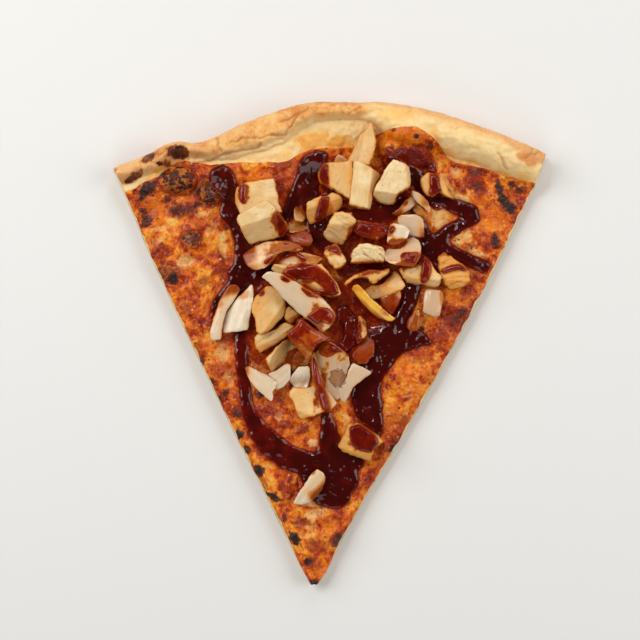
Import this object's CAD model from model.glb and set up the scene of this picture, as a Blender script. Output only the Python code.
"""Looks of a barbecue chicken pizza slice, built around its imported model. Laid out as an add-on:
one operator for each kind of piece and one for the stage, called in order by main(). Sizes in the
tables are millimetres in the model's own frame: the tip points along -Y and the rim lies at +Y."""

import math
from functools import cache

import bmesh
import bpy
import numpy as np
from mathutils import Euler, Matrix, Vector
from mathutils.bvhtree import BVHTree


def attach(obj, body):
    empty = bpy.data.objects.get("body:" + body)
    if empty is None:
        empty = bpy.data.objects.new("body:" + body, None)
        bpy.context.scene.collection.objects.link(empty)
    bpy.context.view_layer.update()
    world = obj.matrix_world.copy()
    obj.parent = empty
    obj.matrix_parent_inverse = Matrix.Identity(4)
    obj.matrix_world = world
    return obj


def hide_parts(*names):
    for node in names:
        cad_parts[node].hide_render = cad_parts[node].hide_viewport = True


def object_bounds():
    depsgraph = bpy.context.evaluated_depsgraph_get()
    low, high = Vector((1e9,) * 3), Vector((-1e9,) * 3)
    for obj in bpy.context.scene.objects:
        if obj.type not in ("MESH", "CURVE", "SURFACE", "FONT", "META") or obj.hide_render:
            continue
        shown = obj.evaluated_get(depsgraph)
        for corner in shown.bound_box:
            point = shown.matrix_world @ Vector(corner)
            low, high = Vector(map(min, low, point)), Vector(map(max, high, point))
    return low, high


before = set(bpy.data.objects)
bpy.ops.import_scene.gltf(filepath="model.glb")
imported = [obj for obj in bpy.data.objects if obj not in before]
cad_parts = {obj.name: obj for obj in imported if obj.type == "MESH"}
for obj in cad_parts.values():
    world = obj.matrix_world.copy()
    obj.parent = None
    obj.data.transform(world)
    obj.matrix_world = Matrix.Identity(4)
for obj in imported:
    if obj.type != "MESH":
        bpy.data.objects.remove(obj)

bl_info = {
    "name": "Barbecue chicken pizza slice",
    "version": (1, 0, 0),
    "blender": (4, 5, 0),
    "location": "View3D > Sidebar > Pizza",
    "description": "Bread, cheese, sauce and toppings of a pizza slice around its packed model",
    "category": "Add Mesh",
}

MM = 0.001
CAD_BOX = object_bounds()

# Plan of the slice, close to the model's.
LEFT_Y = [-113.8, -107.8, -93.6, -72, -43.7, -15.2, 13.3, 41.8, 60, 82.2]
LEFT_X = [-9.0, -12.9, -19.8, -30.5, -44.8, -58.5, -72.2, -85.4, -92.8, -102.4]
RIGHT_Y = [-113.8, -107.8, -93.6, -72.2, -43.7, -15.2, 13.3, 41.8, 60, 74, 88.4]
RIGHT_X = [-5.8, -1.0, 5.8, 17.8, 35.0, 51.4, 67.0, 81.6, 90.2, 97.2, 102.4]
ARC_X = [-102.4, -94, -85, -78.3, -71.6, -66, -60, -52, -43.5, -34, -24, -15, -6, 4, 14, 23, 33, 42,
         51.5, 61, 70, 81, 91, 102.4]
ARC_Y = [82.2, 84.8, 88.4, 92.6, 94.2, 93.2, 93.8, 97.0, 101.5, 105.1, 108.5, 111.2, 112.6, 112.5,
         112.3, 112.4, 110.9, 109.4, 107.2, 104.2, 101, 97.2, 93, 88.4]
# Section of the slice: its length from tip to rim, the bread under the cheese, the rolled rim and
# the slope up to it, the lean of the cut sides, the tuck under the rim, and the cheese.
LENGTH = 225.0
BASE_T = 4.5
ROLL_H = 8.4
LEDGE_H = 3.6
SIDE_SLOPE = 1.6
EDGE_TUCK = 3.2
CHEESE_T = 2.4
# The finely meshed band at the rim, the rim's span, and where along it the fold runs out.
RIM_BAND = 32.0
RIM_SPAN = 200
FOLD_STOP = (.56, .66)
# Depth of the cheese's boundary and of the fold from the outer edge, by place along the rim.
CHEESE_AT = [0, .1, .17, .23, .32, .38, .43, .56, .64, .69, .75, .8, .87, .94, 1]
CHEESE_D = [13, 10.5, 8.5, 12.5, 19.6, 25, 21.3, 20, 12.4, 8.8, 11.8, 19.6, 17, 17, 15]
SEAM_AT = [0, .16, .2, .27, .34, .39, .42, .46, .56, .61, .7, 1]
SEAM_D = [7, 8, 10, 12, 13, 13.2, 10.5, 7.5, 6, 4.5, 4, 4]
# Round swellings of the bread and of the cheese: x, y, half lengths and height.
BLISTERS = [
    (37, 91, 14.4, 11, 8.2), (-71, 76.6, 8.4, 6.8, 5.2), (-56.4, 71.2, 6.8, 6.6, 4.6),
    (-80, 74, 7, 7, 2.6), (-21, 78, 13, 13, 3.0), (74, 72, 11, 11, 2.0)]
SWELLS = [
    (-64, 50, 16, 15, 2.8), (66, 52, 9, 9, 1.8), (-50, -12, 14, 14, 1.0), (36, -18, 16, 16, 1.0),
    (-20, -36, 11, 11, 1.4), (3, -93, 6, 6, 1.2), (60, 20, 10, 10, 1.1), (-80, 44, 9, 9, 1.2),
    (-65, 49, 4.6, 4.2, 1.2), (-76, 34, 7, 5, 1.2), (-50, -2, 6, 7, 1.0), (60, 68, 8, 4, .9)]

# Grid that the sauce and the heights under it are worked out on.
CELL = 0.47
GRID_X, GRID_Y = -108.0, -120.0
NX, NY = 460, 508

# Rays are sent straight down from above the slice, whose height is in metres.
RAY_START = .1
DOWN = Vector((0, 0, -1))

DICE_T = 6.0
PATCH_MARGIN = 3
# Sauce ends this far inside the right cut side, and is eased to stay under a height a little over
# the model's top.
SAUCE_INSET = 2.2
SAUCE_TOP = CAD_BOX[1][2] * 1000 + .7
SAUCE_EASE = .8

# Soft spots of colour on the cheese and the bread: x, y, half length, half width, turn, amount.
CHEESE_CHAR = [
    (4.6, -93, 3.6, 2.2, 50, .8), (-85.5, 72.5, 1.4, 6.5, -38, 1.0),
    (-86.5, 57.5, 3.4, 1.2, 20, .7), (-70.5, 62.4, 7.4, 2.4, 10, .55), (84, 66, 4.6, 2.4, -35, .9),
    (-73, 78.6, 3.0, 1.6, 30, .8), (-66, 78, 2.4, 1.4, -40, .7), (-56, 74, 3.4, 1.4, 10, .7),
    (-53.5, 69, 2.0, 1.3, 0, .8), (-78.6, 78.9, 2.6, 1.7, 0, .85), (-88.6, 71, 5.6, 1.5, 62, 1.0),
    (-84, 73.4, 2.6, 2.2, 30, .8), (-95.6, 73.5, 2.0, 1.2, 0, .8), (-88.5, 62, 2.6, 1.4, -30, .7),
    (-87, 58.8, 3.0, 1.4, 20, .75), (-87.4, 55.6, 2.8, 1.1, 20, .8),
    (-77.2, 67.8, 1.6, 1.8, 0, .75), (-72, 62.4, 2.6, 1.3, 20, .7), (-67, 62.8, 2.2, 1.6, 0, .65),
    (-63.1, 65.3, 1.8, 1.6, 0, .6), (-49.5, 54.2, 1.0, 1.0, 0, .9), (-64.6, 48.8, 2.4, 1.8, 0, .62),
    (-74.6, 30.4, 2.4, 3.2, 20, .95), (-77.4, 30, 1.3, 1.2, 0, .7),
    (-43.8, -42.7, 2.6, 2.6, 0, 1.0), (-40.3, -50.3, 1.9, 2.2, 0, .85),
    (-34.4, -60, 3.0, 3.0, 0, 1.0), (-27.3, -72.4, 3.8, 1.9, -30, 1.0),
    (-17.4, -91.9, 3.7, 2.8, -35, 1.0), (-10.2, -102.4, 2.6, 1.9, 0, .9),
    (-7, -113, 3.4, 1.8, 0, 1.0), (4.4, -91.4, 3.4, 1.6, 40, .8), (-33.2, -23.8, 2.4, 1.7, 0, .8),
    (-49.4, -22.6, 1.6, 1.3, 0, .75), (-44.2, -32.6, 1.8, 2.4, 20, .72),
    (-56.4, -17.6, 1.9, 1.2, -60, .95), (-52.6, -26, 1.7, 1.1, -60, .9),
    (31.4, -49.4, 2.6, 2.0, 60, 1.0), (80.3, 72.6, 1.9, 4.8, 12, .95),
    (82.8, 67.8, 3.4, 2.0, -20, 1.0), (85.6, 63.8, 4.6, 2.7, -20, 1.0),
    (86.4, 74.5, 1.8, 1.7, 0, .9), (90.6, 71.6, 1.5, 1.2, 0, .7), (79.1, 47.6, 2.3, 3.6, 10, .95),
    (63.6, 14.6, 3.2, 2.2, 20, .72), (60, 11, 2.0, 2.6, 0, .66), (64.6, 7.9, 1.8, 1.2, -60, .95),
    (69.6, 80.4, 3.2, 1.4, 20, .64), (70, 74, 3.6, 2.0, -30, .6), (40.4, 95.9, 1.4, 1.1, 0, .85),
    (47.6, 91.4, 1.6, 1.5, 0, .7), (44, 7, 1.3, 1.0, 0, .5), (-61, -8, 1.8, 1.2, -60, .8),
    (20, -72, 1.6, 1.0, 60, .7), (-22, -82, 1.8, 1.2, -60, .8), (30, 99, 1.2, 1.0, 0, .6),
    (-85.2, 40, 1.6, 1.2, -60, .8), (-79, 27, 1.8, 1.0, -60, .7)]
CRUSTS = [
    (-71, 76.6, 8.2, 6.6, 1.0), (-56.4, 71.2, 6.4, 6.2, 1.0), (-64.9, 49, 4.6, 4.0, .8),
    (-80.5, 80.5, 4.4, 3.2, .7), (-76, 33, 6.0, 4.0, .55), (-70.5, 62.4, 6.6, 3.0, .6)]
CHEESE_RED = [
    (-7, -94, 6, 3, 0, .6), (86, 68, 8, 9, 0, .55), (30, -40, 5, 16, -28, .45),
    (-88, 66, 3, 10, 10, .5), (-70.8, 62.8, 7.6, 4.4, 5, .95), (-65, 49.9, 5.0, 3.8, -15, .95),
    (-76, 34.6, 6.4, 4.8, -20, .95), (-80, 43, 5.0, 4.8, 0, .75), (-58, 66.4, 5.5, 3.4, 20, .8),
    (-72, 72, 5, 2.4, 0, .6), (-53, 36, 6, 2.6, 55, .7), (-48, 30, 5, 3, 60, .7),
    (-62, 28, 7, 2.8, 40, .55), (-52, -12, 6.5, 5, 0, .55), (-44.6, -32.4, 3.4, 3.6, 0, .8),
    (-33.4, -23.6, 4, 2.8, 0, .85), (-20.6, -38, 3.6, 2.6, 0, .8),
    (-12.6, -40.2, 3.8, 2.8, 20, .85), (-26, -32, 5, 3.0, -30, .6), (-33, -66, 4.5, 3.0, -50, .6),
    (-20, -70, 6, 3.4, -40, .6), (-14, -84, 6, 3.6, 0, .7), (4.2, -91, 5.0, 2.8, 40, .9),
    (-6, -96, 7, 3, 0, .7), (-9, -104, 5, 3, 0, .6), (16, -66, 5, 2, 60, .7),
    (26, -50, 5, 3, 50, .8), (36, -38, 6, 3, 60, .6), (48, -15, 5, 4, 60, .45),
    (42.3, 88.4, 6.4, 4.6, -20, .9), (69.4, 80, 5, 2.8, 20, 1.0), (69, 74, 7.6, 3.8, -35, 1.0),
    (63, 72, 3, 2.4, 0, .7), (91, 72, 3.6, 2.6, 0, .8), (86, 69, 6.5, 5.5, 0, .5),
    (74.8, 46.4, 2.8, 2.2, 0, .85), (79.4, 48, 3.6, 5.0, 0, .8), (67, 46, 4.5, 1.8, 30, .6),
    (60, 12, 9.6, 7, 20, .85), (52, 4, 6, 5, 0, .7), (66, 24, 4, 3, 60, .5), (45, -6, 6, 5, 0, .5),
    (-84, 61, 3.0, 4.0, 0, .6), (-50.5, 1, 6.5, 4.6, 60, .6), (-62, -2, 5, 3.0, -60, .6),
    (-56, 8, 5, 3, -60, .6), (-68, 16, 5, 3, -60, .6), (2, -82, 6, 2.4, 20, .5),
    (-28, 74, 6, 5, 0, .5), (-22, 84, 6, 4, 20, .8), (-14, 80, 5, 7, 0, .7), (3, 92, 6, 2.0, 0, .3)]
CHEESE_PALE = [
    (-7, -80, 6.0, 3.0, 15, .68), (-9, -86, 4, 2.4, 0, .5), (-30, -44, 3, 2, 20, .6),
    (-80.5, 54.0, 5.0, 1.9, 10, .7), (-82.5, 47.8, 3.0, 2.0, 0, .5),
    (-60.2, 60.6, 4.6, 1.8, 10, .75), (-50.6, 45.4, 1.9, 8, 8, .85), (-69, 38.2, 5, 3.4, 20, .7),
    (-56, 54, 6, 3, 40, .45), (-51.3, -4, 3.6, 4.6, 10, .8), (-48, -16, 3, 5, 0, .4),
    (-8, -75.8, 6.4, 2.0, -5, .75), (-8, -47, 3.2, 2.2, 20, .85), (-24.6, -34, 2.4, 3.4, 20, .6),
    (60.3, 68.4, 8.6, 3.4, -28, .95), (52.6, 59, 4.4, 6.4, 10, .85), (54, 75, 3.8, 5, 20, .85),
    (63.6, 49.4, 6, 3.4, 30, .7), (68.8, 42.3, 7, 2.4, -18, .75), (60, 80, 4, 3, 0, .5),
    (-12, -90, 4, 2, 0, .4), (38, -26, 3, 6, -20, .4), (8.4, -36, 2.2, 6, 0, .5),
    (33, 84, 4, 2, 0, .4), (-18, -57, 3, 1.4, 0, .4), (70, 62, 3, 2, 0, .5),
    (-36, -6, 3, 5, 10, .5), (-30, -10, 4, 4, 0, .5)]
CHEESE_WET = [
    (36, 86, 13.5, 6.6, -6, 1.1), (30, 84, 7, 5, 0, 1.0), (44, 84, 6, 5, 0, 1.0),
    (-22, 74, 9, 7, 0, .5), (-51, 79, 7, 5, 0, .8), (-63, 66, 6, 3, 30, .5),
    (69, 76, 5, 4, -30, .6), (-45, 2, 6, 4, 0, .6), (22, -62, 3, 10, -25, .4),
    (4, -92, 5, 3, 20, .6), (-30, -30, 8, 4, -40, .4)]
CHEESE_OIL = [
    (70, 66, 6, 3, 30, .6), (64, 20, 6, 4, 30, .7), (50, -4, 6, 4, 50, .5),
    (30, -34, 4, 7, -25, .6), (1, -87.5, 4.6, 6.4, -30, 1.1), (-4, -108, 3, 3, 0, .8),
    (36, 97, 12, 6, 0, 1.15), (-84.5, 63.4, 7.4, 9.4, 15, 1.05), (-72, 69.2, 9, 2.8, -8, .9),
    (-62, 57, 8, 4, 30, .6), (-72, 52, 5, 4, 0, .6), (-58, 44, 5, 6, 0, .5), (-87, 68, 4, 7, 0, .7),
    (0, -87, 4.6, 4.8, 0, .95), (-2, -106, 3, 4, 0, .6), (78, 58.8, 8, 6, 30, .95),
    (71, 57, 5, 3, 30, .7), (87, 76, 6, 2.6, -10, .9), (74, 68, 5, 6, -30, .6),
    (57, 26, 7, 5, 30, .7), (66, 30, 6, 3, 30, .6), (36, -12, 5, 7, 0, .6), (44, -22, 5, 6, 60, .5),
    (-17, -44, 6, 4, 0, .6), (-34, 78, 7, 4, 20, .8), (-16, 90, 9, 2.6, 10, .8),
    (7, 93, 9, 2.4, 0, .7), (56, 88, 6, 3, 0, .8), (26, -58, 3, 6, -30, .5)]
BREAD_CHAR = [
    (-73.3, 89.4, 4.6, 3.4, 0, .8), (-71, 91.4, 2.8, 1.1, 0, 1.0), (-69.6, 87.4, 1.8, 1.4, 0, .8),
    (-85.4, 86.6, 4.8, 2.6, 25, .66), (-84, 87.4, 2.0, 1.1, 25, .8), (-77.2, 84.2, 2.6, 2.0, 0, .6),
    (-80.6, 83.8, 1.6, 1.2, 0, .85), (-68, 89, 1.6, 3.0, 0, .7), (-93, 78, 6.0, 1.8, 28, .66),
    (-96, 76, 2.2, 1.2, 20, .8), (-102, 81, 1.6, 1.2, 0, .5)]
BREAD_GOLD = [
    (-96, 79, 9, 4.6, 30, .95), (-84, 86, 11, 6, 28, .85), (-72, 89, 7, 5, 0, .9),
    (-78, 83, 7, 4, 35, .95), (-66, 83, 5, 3, 10, .6), (-60.2, 91, 9, 4.6, 15, .8),
    (-88, 90, 10, 4, 25, .6), (-44, 99, 14, 4.4, 20, .5), (-97, 82, 5, 4, 0, .7),
    (-16, 109, 14, 3.4, 12, .55), (6, 112.4, 14, 2.2, 0, .7), (30, 111.5, 16, 1.9, -8, .7),
    (52, 106.2, 14, 1.8, -14, .75), (74, 99.6, 14, 2.4, -18, .8), (89.6, 93, 8, 4.0, -25, .9),
    (99.4, 88, 4, 5, 0, .95), (93.5, 86.6, 7, 4.4, -30, .95), (-72, 86.5, 8, 3, 0, .6)]
BREAD_OIL = [
    (-8, 95, 10, 5.5, 15, .95), (4, 94.5, 9, 4, 0, 1.05), (-34, 80, 8, 4, 15, 1.0),
    (-22, 87, 5, 2.6, 35, .6), (31, 106, 11, 3.0, -4, .6), (56, 85, 6, 7, 10, .85),
    (66, 84, 8, 3, -12, .8), (80, 79, 9, 2.4, -12, .85), (50, 96, 3, 6, 20, .6),
    (-60, 84, 5, 2, 20, .6), (-84, 79, 7, 2.4, 35, .7), (92, 78, 5, 2.2, -20, .7)]
BREAD_CRACKS = [
    [(-69.3, 83.9), (-59.1, 85.0), (-50.1, 88.2), (-43.3, 90.1), (-34.3, 91.2), (-32.6, 93.5)],
    [(-27.5, 96.9), (-20.7, 97.4), (-16.2, 104.2), (-14.5, 107.1)],
    [(-23.5, 103.1), (-17.3, 105.4), (-10.5, 109.3)],
    [(-47, 93.4), (-41, 95.4), (-35, 95.8)],
    [(-53.6, 95.6), (-52.2, 93.6), (-52.4, 91.6), (-51.2, 89.6)],
    [(10, 107.6), (15, 110)],
    [(79.4, 88.6), (82, 85.4), (84.4, 81.4)],
    [(92.6, 86.4), (95, 88.2), (96.6, 87.6), (98.4, 89)],
    [(95, 88.2), (95.6, 90.6)],
    [(-81, 87.4), (-78, 90.4), (-77.6, 92)],
]

# Sauce: thickness and centre lines (x, y, width). The low strokes lie on the cheese and between
# the toppings, and the last two are a thin film. The high ones run over the toppings.
LOW_SAUCE = [
    (1.7, [(-51, 83, 6), (-50.5, 77.5, 13), (-46.5, 71, 9.5), (-45.5, 66, 10), (-45, 62, 14),
        (-42.5, 55, 9), (-41, 47.5, 9), (-39, 40, 12), (-38.6, 33, 15), (-41, 28.6, 11),
        (-49, 24.6, 5), (-53, 20, 4.2), (-54.5, 15, 3.4), (-56.2, 10, 2.2)]),
    (1.8, [(-45, 33, 7), (-31, 34, 8), (-24, 36, 5)]),
    (1.5, [(-43, 4.5, 5), (-42, 0, 6), (-41, -11, 6.6), (-39.5, -23, 6), (-38.5, -31, 7),
        (-34.5, -39.5, 9.6), (-28.5, -47, 13), (-20, -53.6, 12.5), (-9, -56.5, 12)]),
    (1.9, [(-12, -56.5, 12), (-3, -60, 17), (4, -58, 19), (11, -55, 12)]),
    (1.9, [(-9, -60, 12), (-5, -66, 16), (2, -66.4, 19), (7, -64, 14)]),
    (1.8, [(-2, -70, 14), (3.4, -71, 14), (4, -74, 6)]),
    (1.5, [(-1, -34, 6), (-.4, -42, 9.5), (0, -50, 12), (0, -56, 12)]),
    (1.9, [(31, 0, 12), (25, -5, 14), (19, -14, 13), (17, -22, 14), (18, -30, 15), (20.6, -37, 10),
        (22.4, -41, 6), (21, -47, 3.6)]),
    (1.9, [(17, -25, 14), (11.5, -28, 4)]),
    (1.6, [(16, -50, 5), (11, -54, 12)]),
    (2.0, [(22, 2, 8), (30, 3, 14), (36, 2.4, 13), (42, 2, 8), (46.6, .6, 4)]),
    (1.8, [(39.6, 28, 8), (37.6, 20, 7.5), (34.4, 13, 7.5), (32, 7, 9)]),
    (1.8, [(-3, 88, 6), (-6, 86.6, 9), (-10, 84, 10), (-12, 78, 8), (-15.5, 70, 8), (-18.5, 63, 7),
        (-21, 58, 5)]),
    (1.7, [(-5, 82, 8), (-8, 74, 6), (-9, 62, 8), (-5, 52, 10), (-2, 47, 7)]),
    (1.8, [(28, 86, 5), (36, 80, 8), (42, 77.6, 9), (45, 72, 7), (44.6, 66, 6)]),
    (1.9, [(46, 68, 7.4), (53, 66.6, 5.6), (60, 64, 7.6), (66, 61.4, 8.6), (68, 58.8, 7),
        (63, 56.4, 6), (56, 52.6, 7.4), (50, 48, 7.6), (46, 44, 6)]),
    (1.7, [(43, 59, 4), (44.4, 52, 6), (46, 45, 9), (44, 38, 4.6)]),
    (1.8, [(48, 46, 6.6), (55, 44, 7), (62, 40.8, 6.6), (68, 38, 6.4), (73, 36, 7), (76, 35, 6)]),
    (1.5, [(49.6, 44, 3.4), (49.6, 38, 3), (50.6, 33, 4), (53, 31.6, 3)]),
    (1.2, [(7, 60, 8), (12, 58, 10), (22, 61, 10), (30, 62, 9), (32, 68, 5)]),
    (.45, [(-28, 26, 30), (-16, 20, 34), (0, 12, 36), (10, 10, 34), (20, 20, 34), (26, 34, 30),
        (20, 48, 26), (4, 50, 26), (-8, 44, 24), (-20, 44, 14)]),
    (.35, [(-34, 10, 16), (-30, -4, 14), (-18, -10, 14), (-6, -6, 18), (8, -8, 18)]),
]
HIGH_SAUCE = [
    (1.3, [(47.8, 84, 4.6), (48.6, 79, 4.6), (48.8, 73, 4.8), (49.4, 68, 7.5), (51, 65.6, 7)]),
    (1.2, [(45.2, 43, 4), (45.4, 36.6, 4.8), (44.2, 30.6, 4.4), (43.2, 28, 2.4)]),
    (1.0, [(52.4, 33.2, 2.6), (56, 34.8, 3), (60, 35.6, 3), (64.4, 34.6, 2.8)]),
    (1.3, [(-3.2, 83.6, 5), (-2.8, 77, 5), (-1.8, 71, 3.6), (-2.4, 66, 4.8), (-4, 60, 5),
        (-4.6, 55, 6)]),
    (2.2, [(2.5, -1.5, 4.5), (7, -1.6, 6), (10.5, 2.4, 8), (10.5, 9, 8.4), (6.4, 14.4, 7.6)]),
    (.34, [(-15, 10, 5), (-11, 6, 8.6), (-6, 2, 11), (-1, -2, 9)]),
    (1.0, [(-18, 3, 5), (-10, 9, 7), (-4, 14, 6), (1.6, 12, 8)]),
    (1.2, [(-20, 31, 6), (-14, 33.6, 7.5), (-7, 33, 6.5), (0, 27.6, 6.5), (1.6, 23.4, 5)]),
    (1.1, [(-11.6, 26, 4), (-9, 23.4, 4), (-3, 22.6, 4)]),
    (1.2, [(6, 33.4, 5), (13, 35.6, 5.4), (20, 36, 5), (26, 35.4, 4)]),
    (1.2, [(10, 49, 5), (15, 53, 7), (22, 54.6, 7), (28, 53, 5)]),
    (1.0, [(-8, -8, 3.4), (-6.4, -15, 3.8), (-4.2, -22, 4), (-2.4, -28, 4.4), (-1, -32.6, 3.4)]),
    (1.7, [(13, -40.6, 8), (15.6, -43.6, 12.6), (18.4, -46.4, 9)]),
    (1.0, [(-1, 44.6, 3.4), (3, 44, 4.6), (5, 42, 3)]),
    (1.2, [(-33, 28, 4.6), (-32, 23.6, 4.2)]),
    (1.3, [(-20.6, 48.6, 6), (-22, 54, 5.4), (-24, 59.6, 3.4)]),
    (1.2, [(-40, 66, 3.4), (-40.6, 71, 3.6), (-40, 76, 2.6)]),
    (1.1, [(34, 66, 5), (36, 70, 4)]),
    (1.1, [(35, 40, 5), (41, 39.6, 6)]),
    (1.0, [(-29, 37.6, 3), (-22, 41, 4), (-16, 42.6, 3.4), (-12, 39, 3)]),
    (1.2, [(12, 20, 4.4), (17, 14.6, 4.6), (24, 9.6, 5)]),
]
ONION_BURN = [
    (3.8, -16.3, 4.4, 4.6, 0, 1.0), (-.8, -3.2, 1.9, 1.4, 30, 1.0), (-19.6, -19.6, 1.2, .8, 0, 1.0)]
# Thin sauce soaked into the toppings: x, y, half length, half width, turn, amount.
STAINS = [
    (-9, 8, 12, 6, 40, .85), (-6, 14.6, 3, 5, 0, .8), (8, 6, 8, 14, 0, .95),
    (-12, 32, 10, 4, -20, .9), (16, 52, 9, 5, 0, .95), (24, 52, 6, 4, 0, .8),
    (20, 35, 10, 3.4, 15, .8), (-22, 44, 10, 5, 15, .6), (-8, 40, 8, 5, 0, .6),
    (-4, -20, 2.6, 12, -15, .8), (14, -44, 6, 7, 0, .7), (2, 44, 6, 4, 0, .6),
    (28, 18, 6, 6, 0, .8), (40, 10, 6, 6, 0, .7), (16, -3, 7, 6, 40, .95), (44, 62, 5, 6, 0, .4),
    (38, 38, 9, 3.6, 20, .9), (31.4, 46.4, 6, 3, 8, .9), (-12, 47, 7, 5, 0, .8),
    (-15, 54, 7, 3, 0, .5), (-52, 20, 3, 6, 0, .5), (-9, -58.6, 3, 3, 0, .8),
    (-1.5, 62, 4, 7, 0, .5), (-40, 70, 3.4, 6, 0, .75), (-24, 57, 4, 5, 0, .8),
    (54, 20, 3, 8, 10, .7), (-16, -7, 6, 4, 0, .5), (-40, 23, 4, 3, 0, .5), (5, 13, 6, 6, 0, .8),
    (32, 66, 3, 6, -20, .6), (14, 27, 6, 4, 0, .5), (24, 28, 8, 3, 30, .4)]

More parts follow.
